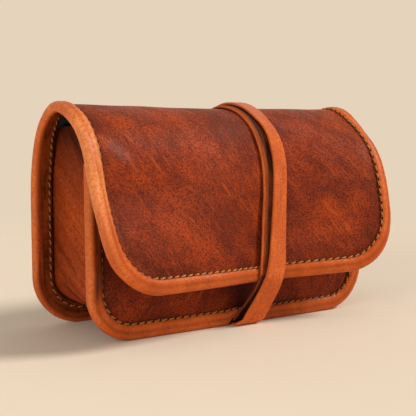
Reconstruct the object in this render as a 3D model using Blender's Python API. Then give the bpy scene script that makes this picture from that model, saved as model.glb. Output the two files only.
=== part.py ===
"""Leather tobacco pouch, closed by a flap and by a thong wound twice round it.

One long piece of leather, the shell, is back, top and flap. Its side profile is a chain of arcs, and its
points are given by x, by the run s along that profile and by the height v above its middle surface. The
front panel is a second sheet, and a gusset joins the two. Rolled bindings hold every edge.
X is the width, the front faces -Y, Z is up, and the origin is under the middle of the pouch on the table.
"""

import math

import bmesh
import bpy
import numpy as np
from mathutils import Matrix

MM = 0.001
DEGREE = math.pi / 180.0

# Leather, cloth and the gap that neighbouring pieces keep
LEATHER = 1.5 * MM
LINING = 0.8 * MM
GUSSET_LEATHER = 0.8 * MM
BINDING_LEATHER = 1.0 * MM
POCKET_LEATHER = 1.0 * MM
GAP = 0.3 * MM

# The front panel
FRONT_WIDTH = 155.0 * MM
FRONT_RADIUS = 22.0 * MM
FRONT_HEIGHT = 77.0 * MM

# The shell: width, bottom corner radius and the place of its lower back edge
SHELL_WIDTH = 164.0 * MM
SHELL_RADIUS = 23.8 * MM
BACK_DEPTH = 46.9 * MM

# The shell's side profile, from the lower back edge over the top to the flap's lower edge.
# The back's straight run ends BACK_SHORTFALL below the front panel's top.
BACK_SHORTFALL = 17.6 * MM
BACK_RUN = FRONT_HEIGHT - BACK_SHORTFALL
SHOULDER_RUN, SHOULDER_TURN = 26.9 * MM, 22.8 * DEGREE
CROWN_RUN, CROWN_TURN = 49.7 * MM, 120.4 * DEGREE
BROW_RUN, BROW_TURN = 27.3 * MM, 13.1 * DEGREE
FLAP_RUN, FLAP_TURN = 45.7 * MM, 16.1 * DEGREE

# Fold lines of the shell, as runs along its profile, the first of them FOLD_LEAD into the crown
FOLD_LEAD = 10.7 * MM
FOLD_SPACING = 18.0 * MM
REAR_FOLD = BACK_RUN + SHOULDER_RUN + FOLD_LEAD
MID_FOLD = REAR_FOLD + FOLD_SPACING
FRONT_FOLD = MID_FOLD + FOLD_SPACING

# The flap: corner radius and how much narrower its lower edge is
FLAP_RADIUS = 31.3 * MM
FLAP_TAPER = 0.033

# The rolled binding: its whole thickness, its outer and inner legs and the flat along its rim
ROLL = 5.2 * MM
OUTER_LEG = 6.6 * MM
INNER_LEG = 10.3 * MM
RIM_FLAT = 1.5 * MM
ROLL_BEVEL_SHARE = 0.3
ROLL_POINTS = 7
MOUTH_LEG = 5.5 * MM

# The gusset's wall lies this far inside the edges of the sheets, and rises between them at the mouth
GUSSET_INSET = 11.2 * MM
GUSSET_BACK_TOP = 94.0 * MM
GUSSET_CREST = 7.0 * MM
GUSSET_LINING_MARGIN = 3.2 * MM

# Thread
THREAD = 0.8 * MM
STITCH = 3.8 * MM
HUMP = 0.3 * MM

# The slip pocket inside the back
POCKET_WIDTH = 104.0 * MM
POCKET_TOP = 66.0 * MM
POCKET_BASE = 17.0 * MM
POCKET_SPACE = 5.0 * MM
POCKET_HEM = 3.5 * MM
POCKET_BEND = 6.0 * MM

# The thong: its thickness, the gap between its turns and the places along X where it passes the edges
STRAP_LEATHER = 1.2 * MM
STRAP_GAP = 0.43 * MM
STRAP_TOP_X = 12.0 * MM
STRAP_FLAP_X = 10.0 * MM
STRAP_FRONT_X = 5.2 * MM
STRAP_BACK_X = 3.0 * MM

# The thong's path in rows: share of the shell's run, middle of the turns along X, their offset, width
STRAP_PATH = (
    (0.0, STRAP_BACK_X, 2.0 * MM, 9.0 * MM),
    (0.24, 2.0 * MM, 3.0 * MM, 8.6 * MM),
    (0.43, 2.0 * MM, 2.0 * MM, 8.4 * MM),
    (0.51, 6.0 * MM, -1.5 * MM, 8.4 * MM),
    (0.54, 8.0 * MM, -2.0 * MM, 8.4 * MM),
    (0.565, 10.7 * MM, 0.3 * MM, 8.4 * MM),
    (0.615, 15.3 * MM, 2.8 * MM, 8.4 * MM),
    (0.665, 18.2 * MM, 4.0 * MM, 8.4 * MM),
    (0.71, 19.2 * MM, 4.8 * MM, 8.4 * MM),
    (0.756, 18.9 * MM, 5.0 * MM, 8.4 * MM),
    (0.85, 15.6 * MM, 3.8 * MM, 9.4 * MM),
    (0.943, 12.0 * MM, 3.7 * MM, 9.9 * MM),
    (1.0, STRAP_FLAP_X, 1.2 * MM, 11.2 * MM),
)
STRAP_FRONT_OFFSET, STRAP_FRONT_WIDTH = 2.5 * MM, 11.2 * MM
STRAP_TURNS = 2.1
STRAP_RAMP = 0.15
STRAP_START = 48.0 * MM
STRAP_STATION = 5.0 * MM
STRAP_SMOOTHINGS = 3
STRAP_ARC = 20.0 * DEGREE
STRAP_BEVEL = 0.3 * MM

# The dent that the thong presses into the flap and the front, and its lift of the lower edges.
# The flap's dent starts DENT_LEAD past the rear fold and is full after DENT_RUN more.
DENT_BROAD = 8.4 * MM
DENT_LOCAL = 6.4 * MM
DENT_REACH = 22.0 * MM
DENT_LEAD = 9.0 * MM
DENT_RUN = 84.0 * MM
DENT_START = REAR_FOLD + DENT_LEAD
DENT_FULL = DENT_START + DENT_RUN
FRONT_DENT = 9.0 * MM
FRONT_DENT_START = 26.0 * MM
LIFT_HALF = 7.2 * MM
LIFT_FADE = 7.0 * MM
LIFT_HEIGHT = 26.0 * MM

# Spacing of the mesh rows and columns: ROW where the shell is curved most
ROW = 4.5 * MM
FLAP_ROW = 6.75 * MM
FLAT_ROW = 13.5 * MM
POCKET_ROW = 9.0 * MM
POCKET_COLUMN = 18.0 * MM
MOUTH_STATION = 9.0 * MM
WALL_SHARES = (0.25, 0.5, 0.75)
CORNER_STEPS = 5
COLUMN = 20.0 * MM
COLUMN_END = 4.0 * MM
DENSE_HALF = LIFT_HALF + LIFT_FADE
DENSE_COLUMNS = 9
SIDE_COLUMNS = 2
SAME_LENGTH = 1e-6
SHARP_ANGLE = 45.0 * DEGREE

SLOT_OUT = LEATHER / 2 + GAP
SLOT_IN = -(LEATHER / 2 + GAP + LINING + GAP)
LEG_TOP = SLOT_OUT + BINDING_LEATHER
LEG_BASE = SLOT_IN - BINDING_LEATHER
FLANGE_TOP = -(LEATHER / 2 + GAP)
FLANGE_BASE = FLANGE_TOP - LINING
EDGE_INSET = BINDING_LEATHER + GAP
PIVOT_HEIGHT = LEG_TOP + GAP
TRIM_TOP = LEATHER / 2 + GAP + THREAD + HUMP
MOUTH_STITCH_RISE = FRONT_HEIGHT - MOUTH_LEG - GAP - THREAD / 2
STRAP_STEP = STRAP_LEATHER + STRAP_GAP
BAND_HALF = (STRAP_FRONT_WIDTH + STRAP_FRONT_OFFSET) / 2
LIFT = GAP + STRAP_LEATHER + STRAP_STEP

CHAIN = (
    (BACK_RUN, 0.0),
    (SHOULDER_RUN, SHOULDER_TURN),
    (CROWN_RUN, CROWN_TURN),
    (BROW_RUN, BROW_TURN),
    (FLAP_RUN, FLAP_TURN),
)
SHELL_RUN = sum(run for run, _ in CHAIN)


def clear_scene():
    """Remove every object that the file holds."""
    for thing in list(bpy.data.objects):
        bpy.data.objects.remove(thing, do_unlink=True)


def material(name, colour, roughness, metallic=0.0):
    """A plain Principled finish, with the colour given in linear light."""
    finish = bpy.data.materials.new(name)
    finish.use_nodes = True
    shader = finish.node_tree.nodes["Principled BSDF"]
    shader.inputs["Base Color"].default_value = (*colour, 1.0)
    shader.inputs["Roughness"].default_value = roughness
    shader.inputs["Metallic"].default_value = metallic
    finish.diffuse_color = (*colour, 1.0)
    return finish


def ease(value):
    """Rise smoothly from 0 to 1 as the value goes from 0 to 1."""
    value = min(max(value, 0.0), 1.0)
    return value * value * (3.0 - 2.0 * value)


def profile_place(s):
    """Depth, height and heading of the shell's middle surface at a run s along its profile."""
    depth, height, heading = BACK_DEPTH, 0.0, 0.0
    for run, turn in CHAIN:
        part = min(max(s, 0.0), run)
        if turn:
            bend = turn * part / run
            radius = run / turn
            depth += radius * (math.cos(heading + bend) - math.cos(heading))
            height += radius * (math.sin(heading + bend) - math.sin(heading))
            heading += bend
        else:
            depth -= part * math.sin(heading)
            height += part * math.cos(heading)
        s -= run
        if s <= 0.0:
            break
    return depth, height, heading


def strap_row(s):
    """Middle of the thong's turns along X, their offset and the thong's width at a run s of the shell."""
    share = s / SHELL_RUN
    for before, after in zip(STRAP_PATH, STRAP_PATH[1:]):
        if share <= after[0]:
            break
    part = min(1.0, (share - before[0]) / (after[0] - before[0]))
    return tuple(a + (b - a) * part for a, b in zip(before[1:], after[1:]))


def dent_shape(x, middle):
    """Depth of the dent at x: a broad bow over the whole width and a local hollow under the thong."""
    away = x - middle
    span = SHELL_WIDTH / 2 + (middle if away < 0.0 else -middle)
    broad = max(0.0, 1.0 - (away / span) ** 2)
    local = math.exp(-((away / DENT_REACH) ** 2))
    return DENT_BROAD * broad + DENT_LOCAL * local


def lift_shape(x, middle, height):
    """How far the thong lifts a lower edge at x, fading beside the thong and with the height."""
    fade = max(0.0, 1.0 - max(height, 0.0) / LIFT_HEIGHT) ** 2
    return LIFT * fade * ease((LIFT_HALF + LIFT_FADE - abs(x - middle)) / LIFT_FADE)


def shell_point(x, s, v):
    """Point of the shell at x, at the run s and at the height v above its middle surface."""
    depth, height, heading = profile_place(s)
    taper = ease((s - FRONT_FOLD) / (SHELL_RUN - FRONT_FOLD))
    x *= 1.0 - FLAP_TAPER * taper
    press = ease((s - DENT_START) / (DENT_FULL - DENT_START)) * dent_shape(x, strap_row(s)[0])
    out = v - press
    y = depth + out * math.cos(heading)
    z = height + out * math.sin(heading) + lift_shape(x, STRAP_BACK_X, s)
    return (x, y, z)


def flap_point(x, rise, v):
    """Point of the flap, with the rise measured from its lower edge."""
    return shell_point(x, SHELL_RUN - rise, v)


def front_point(x, rise, v):
    """Point of the front panel at x, at the rise from its lower edge and at the height v outwards."""
    press = FRONT_DENT * ease((rise - FRONT_DENT_START) / (FRONT_HEIGHT - FRONT_DENT_START))
    share = dent_shape(x, STRAP_FLAP_X) / (DENT_BROAD + DENT_LOCAL)
    z = rise + lift_shape(x, STRAP_FRONT_X, rise)
    return (x, press * share - v, z)


def add_mesh(name, points, faces, finish, smooth=True):
    """Make one object of points and faces, with its faces pointing out."""
    mesh = bpy.data.meshes.new(name)
    work = bmesh.new()
    made = [work.verts.new(point) for point in points]
    for face in faces:
        work.faces.new([made[index] for index in face])
    bmesh.ops.recalc_face_normals(work, faces=work.faces)
    if work.calc_volume(signed=True) < 0.0:
        bmesh.ops.reverse_faces(work, faces=work.faces)
    work.to_mesh(mesh)
    work.free()
    if smooth:
        mesh.shade_smooth()
        mesh.set_sharp_from_angle(angle=SHARP_ANGLE)
    mesh.materials.append(finish)
    thing = bpy.data.objects.new(name, mesh)
    bpy.context.scene.collection.objects.link(thing)
    return thing


def grid_solid(name, outer, inner, finish):
    """Closed solid between two like grids of points, given as rows."""
    rows, columns = len(outer), len(outer[0])
    count = rows * columns
    points = [point for row in outer for point in row] + [point for row in inner for point in row]
    faces = []
    for row in range(rows - 1):
        for column in range(columns - 1):
            a = row * columns + column
            b = a + columns
            faces.append((a, a + 1, b + 1, b))
            faces.append((count + a, count + b, count + b + 1, count + a + 1))
    last = (rows - 1) * columns
    for column in range(columns - 1):
        faces.append((column, count + column, count + column + 1, column + 1))
        a = last + column
        faces.append((a, a + 1, count + a + 1, count + a))
    for row in range(rows - 1):
        a = row * columns
        b = a + columns
        faces.append((a, b, count + b, count + a))
        a += columns - 1
        b += columns - 1
        faces.append((a, count + a, count + b, b))
    return add_mesh(name, points, faces, finish)


def sweep_solid(name, sections, finish, closed=False):
    """Closed solid through like sections, capped at both ends or joined into a ring."""
    count = len(sections[0])
    points = [point for section in sections for point in section]
    faces = []
    spans = len(sections) if closed else len(sections) - 1
    for station in range(spans):
        a = station * count
        b = (station + 1) % len(sections) * count
        for corner in range(count):
            following = (corner + 1) % count
            faces.append((a + corner, a + following, b + following, b + corner))
    if not closed:
        faces.append(tuple(range(count)))
        last = (len(sections) - 1) * count
        faces.append(tuple(last + corner for corner in reversed(range(count))))
    return add_mesh(name, points, faces, finish)


def spread(start, end, step):
    """Evenly spaced values from start to end, no further apart than the step."""
    count = max(1, math.ceil(abs(end - start) / step - SAME_LENGTH))
    return [start + (end - start) * index / count for index in range(count + 1)]


def base_columns(half, middle):
    """Columns across a sheet as far as its corners begin, closer together near the thong."""
    left = spread(-half, middle - DENSE_HALF, COLUMN)
    spacing = 2 * DENSE_HALF / (DENSE_COLUMNS - 1)
    dense = [middle - DENSE_HALF + spacing * step for step in range(DENSE_COLUMNS)]
    right = spread(middle + DENSE_HALF, half, COLUMN)
    return left[:-1] + dense + right[1:]


def half_width(rise, half, radius):
    """Half the width of a sheet with round lower corners, at a rise above its lower edge."""
    if rise >= radius:
        return half
    return half - radius + math.sqrt(max(0.0, radius**2 - (radius - rise) ** 2))


def corner_rises(radius):
    """Rises of the corner rows, at equal angles round the corner."""
    return [radius * (1.0 - math.cos(math.pi / 2 * step / CORNER_STEPS)) for step in range(CORNER_STEPS + 1)]


def sheet_rows(width, radius, inset, rises, middle):
    """Rows of (x, rise) pairs that fill a sheet whose edge lies inset from a U-shaped outline."""
    half = width / 2 - inset
    corner = radius - inset
    straight = half - corner
    inner = base_columns(straight - COLUMN_END, middle)
    heights = [rise + inset for rise in corner_rises(corner)] if rises[0] < radius else []
    heights += [rise for rise in rises if rise > radius + ROW / 3] if heights else list(rises)
    rows = []
    for rise in heights:
        reach = half_width(rise - inset, half, corner)
        inside = inner[-1]
        wings = [inside + (reach - inside) * step / SIDE_COLUMNS for step in range(1, SIDE_COLUMNS + 1)]
        line = [-wing for wing in reversed(wings)] + inner + wings
        rows.append([(x, rise) for x in line])
    return rows


def sheet(name, place, rows, top, base, finish):
    """Solid sheet between two heights over its middle surface."""
    outer = [[place(x, rise, top) for x, rise in row] for row in rows]
    inner = [[place(x, rise, base) for x, rise in row] for row in rows]
    return grid_solid(name, outer, inner, finish)


def edge_path(width, radius, rises, middle):
    """Stations round a U-shaped edge: x, rise and the direction that points out of the sheet."""
    half = width / 2
    sides = [rise for rise in rises if rise > radius + ROW / 3]
    left = [(-half, rise, -1.0, 0.0) for rise in reversed(sides)]
    centre = half - radius
    corner = []
    for step in range(CORNER_STEPS + 1):
        angle = math.pi / 2 * step / CORNER_STEPS
        out_x, out_rise = -math.cos(angle), -math.sin(angle)
        corner.append((-centre + radius * out_x, radius + radius * out_rise, out_x, out_rise))
    base = [(x, 0.0, 0.0, -1.0) for x in base_columns(centre - COLUMN_END, middle)]
    right = [(-x, rise, -out_x, out_rise) for x, rise, out_x, out_rise in reversed(left + corner)]
    return left + corner + base + right


def side_path(width, rises, side):
    """Stations along one straight side edge."""
    return [(side * width / 2, rise, float(side), 0.0) for rise in rises]


def binding_section():
    """Section of the rolled binding: distance in from the edge, and height over the middle surface."""
    middle = (LEG_TOP + LEG_BASE) / 2
    radius = ROLL / 2
    bevel = radius * ROLL_BEVEL_SHARE
    return [
        (OUTER_LEG, LEG_TOP),
        (radius, LEG_TOP),
        (bevel, LEG_TOP - bevel),
        (0.0, middle + RIM_FLAT / 2),
        (0.0, middle - RIM_FLAT / 2),
        (bevel, LEG_BASE + bevel),
        (radius, LEG_BASE),
        (INNER_LEG, LEG_BASE),
        (INNER_LEG, SLOT_IN),
        (BINDING_LEATHER, SLOT_IN),
        (BINDING_LEATHER, SLOT_OUT),
        (OUTER_LEG, SLOT_OUT),
    ]


def swept_edge(name, place, path, section, finish):
    """Carry a section of (inset, height) pairs along an edge."""
    sections = []
    for x, rise, out_x, out_rise in path:
        sections.append([place(x - inset * out_x, rise - inset * out_rise, v) for inset, v in section])
    return sweep_solid(name, sections, finish)


def path_length(points):
    """Length of a line through points."""
    return sum(math.dist(a, b) for a, b in zip(points, points[1:]))


def walk_path(path, inset, count):
    """Evenly spaced places at an inset along an edge path, as (x, rise) pairs."""
    places = [(x - inset * out_x, rise - inset * out_rise) for x, rise, out_x, out_rise in path]
    total = path_length(places)
    marks = [total * step / count for step in range(count + 1)]
    found, passed, index = [], 0.0, 0
    for mark in marks:
        while index < len(places) - 2 and passed + math.dist(places[index], places[index + 1]) < mark:
            passed += math.dist(places[index], places[index + 1])
            index += 1
        length = math.dist(places[index], places[index + 1])
        share = min(1.0, (mark - passed) / length)
        found.append(tuple(a + (b - a) * share for a, b in zip(places[index], places[index + 1])))
    return found


def stitch_row(name, place, path, inset, height, side, finish):
    """One run of thread: a three-sided strand that rises over each stitch and dips at each hole."""
    total = path_length([(x - inset * out_x, rise - inset * out_rise) for x, rise, out_x, out_rise in path])
    count = 2 * max(1, round((total - STITCH) / STITCH))
    places = walk_path(path, inset, count)[1:-1]
    strand = THREAD / 2
    sections = []
    for index, (x, rise) in enumerate(places):
        before = places[max(index - 1, 0)]
        after = places[min(index + 1, len(places) - 1)]
        run_x, run_rise = after[0] - before[0], after[1] - before[1]
        length = math.hypot(run_x, run_rise)
        across_x, across_rise = -run_rise / length, run_x / length
        lift = height + side * (HUMP if index % 2 else 0.0)
        sections.append([
            place(x + strand * across_x, rise + strand * across_rise, lift - side * strand),
            place(x, rise, lift + side * strand),
            place(x - strand * across_x, rise - strand * across_rise, lift - side * strand),
        ])
    return sweep_solid(name, sections, finish)


def shell_rises():
    """Rows along the shell in each of its four stretches."""
    back = [0.0] + spread(SHELL_RADIUS, BACK_RUN, FLAT_ROW) + spread(BACK_RUN, REAR_FOLD - GAP / 2, ROW)[1:]
    rear = spread(REAR_FOLD + GAP / 2, MID_FOLD - GAP / 2, ROW)
    mid = spread(MID_FOLD + GAP / 2, FRONT_FOLD - GAP / 2, ROW)
    flap = [0.0] + spread(FLAP_RADIUS, SHELL_RUN - FRONT_FOLD - GAP / 2, FLAP_ROW)
    return back, rear, mid, flap


def make_back(finish):
    """The back of the shell with its lining, its binding and the thread on both faces."""
    rises = shell_rises()[0]
    rows = sheet_rows(SHELL_WIDTH, SHELL_RADIUS, EDGE_INSET, rises, STRAP_BACK_X)
    sheet("back_panel", shell_point, rows, LEATHER / 2, -LEATHER / 2, finish["leather"])
    inset = GUSSET_INSET + GUSSET_LEATHER + LINING + 2 * GAP
    rows = sheet_rows(SHELL_WIDTH, SHELL_RADIUS, inset, rises, STRAP_BACK_X)
    sheet("back_lining", shell_point, rows, FLANGE_TOP, FLANGE_BASE, finish["lining"])
    path = edge_path(SHELL_WIDTH, SHELL_RADIUS, rises, STRAP_BACK_X)
    swept_edge("back_binding", shell_point, path, binding_section(), finish["binding"])
    strand = GAP + THREAD / 2
    inset = OUTER_LEG + strand
    stitch_row("back_outer_stitching", shell_point, path, inset, LEATHER / 2 + strand, 1, finish["thread"])
    inset = INNER_LEG - 2 * THREAD
    stitch_row("back_inner_stitching", shell_point, path, inset, LEG_BASE - strand, -1, finish["thread"])


def make_fold(name, rises, finish):
    """One stretch of the shell between two folds, with its lining, two bindings and their thread."""
    half = SHELL_WIDTH / 2 - EDGE_INSET
    straight = SHELL_WIDTH / 2 - FLAP_RADIUS
    inner = base_columns(straight - COLUMN_END, STRAP_TOP_X)
    wings = [inner[-1] + (half - inner[-1]) * step / SIDE_COLUMNS for step in range(1, SIDE_COLUMNS + 1)]
    line = [-wing for wing in reversed(wings)] + inner + wings
    rows = [[(x, s) for x in line] for s in rises]
    sheet(f"{name}_panel", shell_point, rows, LEATHER / 2, -LEATHER / 2, finish["leather"])
    sheet(f"{name}_lining", shell_point, rows, FLANGE_TOP, FLANGE_BASE, finish["lining"])
    strand = GAP + THREAD / 2
    for label, side in (("left", -1), ("right", 1)):
        path = side_path(SHELL_WIDTH, rises, side)
        swept_edge(f"{name}_binding_{label}", shell_point, path, binding_section(), finish["binding"])
        row_name = f"{name}_stitching_{label}"
        height = LEATHER / 2 + strand
        stitch_row(row_name, shell_point, path, OUTER_LEG + strand, height, 1, finish["thread"])


def make_flap(finish):
    """The front of the flap with its lining, its binding and its thread."""
    rises = shell_rises()[3]
    rows = sheet_rows(SHELL_WIDTH, FLAP_RADIUS, EDGE_INSET, rises, STRAP_FLAP_X)
    sheet("flap_front_panel", flap_point, rows, LEATHER / 2, -LEATHER / 2, finish["leather"])
    sheet("flap_front_lining", flap_point, rows, FLANGE_TOP, FLANGE_BASE, finish["lining"])
    path = edge_path(SHELL_WIDTH, FLAP_RADIUS, rises, STRAP_FLAP_X)
    swept_edge("flap_front_binding", flap_point, path, binding_section(), finish["binding"])
    strand = GAP + THREAD / 2
    height = LEATHER / 2 + strand
    stitch_row("flap_front_stitching", flap_point, path, OUTER_LEG + strand, height, 1, finish["thread"])


def front_rises():
    """Rows up the front panel, one of them under the thread of its top edge."""
    return [0.0] + spread(FRONT_RADIUS, MOUTH_STITCH_RISE, FLAT_ROW) + [FRONT_HEIGHT]


def make_front(finish):
    """The front panel with its lining, its binding, its thread and the binding of its top edge."""
    rises = front_rises()
    rows = sheet_rows(FRONT_WIDTH, FRONT_RADIUS, EDGE_INSET, rises, STRAP_FRONT_X)
    sheet("front_panel", front_point, rows, LEATHER / 2, -LEATHER / 2, finish["leather"])
    inset = GUSSET_INSET + GUSSET_LEATHER + LINING + 2 * GAP
    low = [rise for rise in rises if rise < FRONT_HEIGHT] + [FRONT_HEIGHT - MOUTH_LEG - 2 * GAP]
    rows = sheet_rows(FRONT_WIDTH, FRONT_RADIUS, inset, low, STRAP_FRONT_X)
    sheet("front_lining", front_point, rows, FLANGE_TOP, FLANGE_BASE, finish["lining"])
    path = edge_path(FRONT_WIDTH, FRONT_RADIUS, rises, STRAP_FRONT_X)
    swept_edge("front_binding", front_point, path, binding_section(), finish["binding"])
    strand = GAP + THREAD / 2
    height = LEATHER / 2 + strand
    stitch_row("front_stitching", front_point, path, OUTER_LEG + strand, height, 1, finish["thread"])
    make_mouth(finish)


def make_mouth(finish):
    """The binding that caps the front panel's top edge, between the side bindings, and its thread."""
    half = FRONT_WIDTH / 2 - GUSSET_INSET - GUSSET_LEATHER / 2 - GAP
    top_row = sheet_rows(FRONT_WIDTH, FRONT_RADIUS, EDGE_INSET, [FRONT_HEIGHT], STRAP_FRONT_X)[0]
    columns = [-half] + [x for x, _ in top_row if abs(x) < half] + [half]
    top = FRONT_HEIGHT + GAP
    cap = top + BINDING_LEATHER
    foot = FRONT_HEIGHT - MOUTH_LEG
    outer, inner = LEATHER / 2 + GAP, -LEATHER / 2 - GAP
    section = [
        (foot, outer + BINDING_LEATHER),
        (cap - BINDING_LEATHER / 2, outer + BINDING_LEATHER),
        (cap, outer + BINDING_LEATHER / 2),
        (cap, inner - BINDING_LEATHER / 2),
        (cap - BINDING_LEATHER / 2, inner - BINDING_LEATHER),
        (foot, inner - BINDING_LEATHER),
        (foot, inner),
        (top, inner),
        (top, outer),
        (foot, outer),
    ]
    sections = [[front_point(x, rise, v) for rise, v in section] for x in columns]
    sweep_solid("mouth_binding", sections, finish["binding"])
    path = [(x, MOUTH_STITCH_RISE, 0.0, 1.0) for x in spread(-half + STITCH, half - STITCH, MOUTH_STATION)]
    height = LEATHER / 2 + GAP + THREAD / 2
    stitch_row("mouth_stitching", front_point, path, 0.0, height, 1, finish["thread"])


def wall_stations():
    """Matching edge stations of the back and the front, round the U of the gusset, with a side's share."""
    rises = [rise for rise in shell_rises()[0] if SHELL_RADIUS <= rise <= GUSSET_BACK_TOP]
    left = []
    for back_rise in reversed(rises):
        share = (back_rise - rises[0]) / (rises[-1] - rises[0])
        front_rise = FRONT_RADIUS + (FRONT_HEIGHT - EDGE_INSET - FRONT_RADIUS) * share
        back = (-SHELL_WIDTH / 2, back_rise, -1.0, 0.0)
        front = (-FRONT_WIDTH / 2, front_rise, -1.0, 0.0)
        left.append((back, front, share))
    back_path = edge_path(SHELL_WIDTH, SHELL_RADIUS, [0.0], STRAP_BACK_X)
    front_path = edge_path(FRONT_WIDTH, FRONT_RADIUS, [0.0], STRAP_FRONT_X)
    base = [(back, front, 0.0) for back, front in zip(back_path, front_path)]
    right = []
    for back, front, share in reversed(left[:-1]):
        right.append(((-back[0], back[1], 1.0, 0.0), (-front[0], front[1], 1.0, 0.0), share))
    return left[:-1] + base + right


def edge_point(place, station, inset, v):
    """Point of a sheet at an inset from one of the stations of its edge."""
    x, rise, out_x, out_rise = station
    return place(x - inset * out_x, rise - inset * out_rise, v)


def wall_point(back, front, share, inset, part):
    """Point of the gusset's wall, at a part of the way from the back to the front."""
    middle = (FLANGE_TOP + FLANGE_BASE) / 2
    start = edge_point(shell_point, back, inset, middle)
    end = edge_point(front_point, front, inset, middle)
    crest = GUSSET_CREST * share**2 * math.sin(math.pi * part)
    mixed = [a + (b - a) * part for a, b in zip(start, end)]
    return (mixed[0], mixed[1], mixed[2] + crest)


def make_gusset(finish):
    """The gusset: a wall with a flange in the binding at each side, and its lining."""
    half = GUSSET_LEATHER / 2
    outer, inner = [], []
    sides = ((outer, GUSSET_INSET - half, FLANGE_BASE), (inner, GUSSET_INSET + half, FLANGE_TOP))
    for back, front, share in wall_stations():
        for rows, inset, v in sides:
            row = [edge_point(shell_point, back, EDGE_INSET, v), edge_point(shell_point, back, inset, v)]
            row += [wall_point(back, front, share, inset, part) for part in WALL_SHARES]
            row += [edge_point(front_point, front, inset, v), edge_point(front_point, front, EDGE_INSET, v)]
            rows.append(row)
    grid_solid("gusset", outer, inner, finish["gusset"])
    margin = GUSSET_LINING_MARGIN / BACK_DEPTH
    parts = (margin, *WALL_SHARES, 1.0 - margin)
    face = GUSSET_INSET + half + GAP
    grids = []
    for inset in (face, face + LINING):
        grids.append([[wall_point(*station, inset, part) for part in parts] for station in wall_stations()])
    grid_solid("gusset_lining", *grids, finish["lining"])


def make_pocket(finish):
    """The slip pocket: a leaf of leather sewn to the inside of the back along its sides and its foot."""
    half = POCKET_WIDTH / 2
    foot = FLANGE_BASE - GAP
    edge = (0.0, POCKET_HEM, POCKET_HEM + POCKET_BEND / 2, POCKET_HEM + POCKET_BEND)
    inside = spread(-half + edge[-1], half - edge[-1], POCKET_COLUMN)
    columns = [step - half for step in edge[:-1]] + inside + [half - step for step in reversed(edge[:-1])]
    rises = [POCKET_BASE + step for step in edge[:-1]]
    rises += spread(POCKET_BASE + edge[-1], POCKET_TOP, POCKET_ROW)
    outer, inner = [], []
    for rise in rises:
        spaces = [pocket_space(x, rise) for x in columns]
        outer.append([shell_point(x, rise, foot - space) for x, space in zip(columns, spaces)])
        face = foot - POCKET_LEATHER
        inner.append([shell_point(x, rise, face - space) for x, space in zip(columns, spaces)])
    grid_solid("slip_pocket", outer, inner, finish["binding"])
    in_x, in_rise = half - POCKET_HEM / 2, POCKET_BASE + POCKET_HEM / 2
    path = [(-in_x, POCKET_TOP, -1.0, 0.0), (-in_x, in_rise, -1.0, 0.0)]
    path += [(in_x, in_rise, 1.0, 0.0), (in_x, POCKET_TOP, 1.0, 0.0)]
    height = foot - POCKET_LEATHER - GAP - THREAD / 2
    stitch_row("pocket_stitching", shell_point, path, 0.0, height, -1, finish["thread"])


def pocket_space(x, rise):
    """Depth of the slip pocket under its leaf, nothing along the sewn hem."""
    inside = min(POCKET_WIDTH / 2 - abs(x), rise - POCKET_BASE) - POCKET_HEM
    return POCKET_SPACE * ease(inside / POCKET_BEND)


def girth_points():
    """Outermost places of the pouch under the thong, as (y, z) with the thong's middle, offset and width."""
    found = {}
    rims = binding_section()[:ROLL_POINTS]
    trim = OUTER_LEG + GAP + THREAD / 2
    back, flap = strap_row(0.0), strap_row(SHELL_RUN)
    front = (STRAP_FRONT_X, STRAP_FRONT_OFFSET, STRAP_FRONT_WIDTH)
    for shift in (-BAND_HALF, 0.0, BAND_HALF):
        for s in spread(0.0, SHELL_RUN, ROW):
            row = strap_row(s)
            found[shell_point(row[0] + shift, s, LEATHER / 2)[1:]] = row
        for inset, v in rims + [(trim, TRIM_TOP)]:
            found[shell_point(STRAP_BACK_X + shift, inset, v)[1:]] = back
            found[flap_point(STRAP_FLAP_X + shift, inset, v)[1:]] = flap
            found[front_point(STRAP_FRONT_X + shift, inset, v)[1:]] = front
    return found


def convex_outline(points):
    """Convex outline of (y, z) points, anticlockwise: under the pouch, up its back and over to its front."""

    def chain(sequence):
        line = []
        for point in sequence:
            while len(line) > 1:
                ay, az = line[-1][0] - line[-2][0], line[-1][1] - line[-2][1]
                by, bz = point[0] - line[-2][0], point[1] - line[-2][1]
                if ay * bz - az * by > 0.0:
                    break
                line.pop()
            line.append(point)
        return line[:-1]

    ordered = sorted(points)
    return chain(ordered) + chain(reversed(ordered))


def girth_supports():
    """Closed line of supports round the pouch: depth, height, outward direction and the thong's row."""
    found = girth_points()
    outline = convex_outline(found)
    count = len(outline)
    angles = []
    for index in range(count):
        (y, z), (next_y, next_z) = outline[index], outline[(index + 1) % count]
        angles.append(math.atan2(-(next_y - y), next_z - z))
    supports = []
    for index, (y, z) in enumerate(outline):
        turn = (angles[index] - angles[index - 1]) % (2 * math.pi)
        steps = math.ceil(turn / STRAP_ARC)
        fan = [turn * step / steps for step in range(steps + 1)] if steps > 1 else [turn / 2]
        for part in fan:
            angle = angles[index - 1] + part
            supports.append((y, z, math.cos(angle), math.sin(angle), *found[(y, z)]))
        next_y, next_z = outline[(index + 1) % count]
        pieces = math.ceil(math.dist((y, z), (next_y, next_z)) / STRAP_STATION)
        for piece in range(1, pieces):
            share = piece / pieces
            row = [a + (b - a) * share for a, b in zip(found[(y, z)], found[(next_y, next_z)])]
            place = (y + (next_y - y) * share, z + (next_z - z) * share)
            supports.append((*place, math.cos(angles[index]), math.sin(angles[index]), *row))
    return supports


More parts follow.
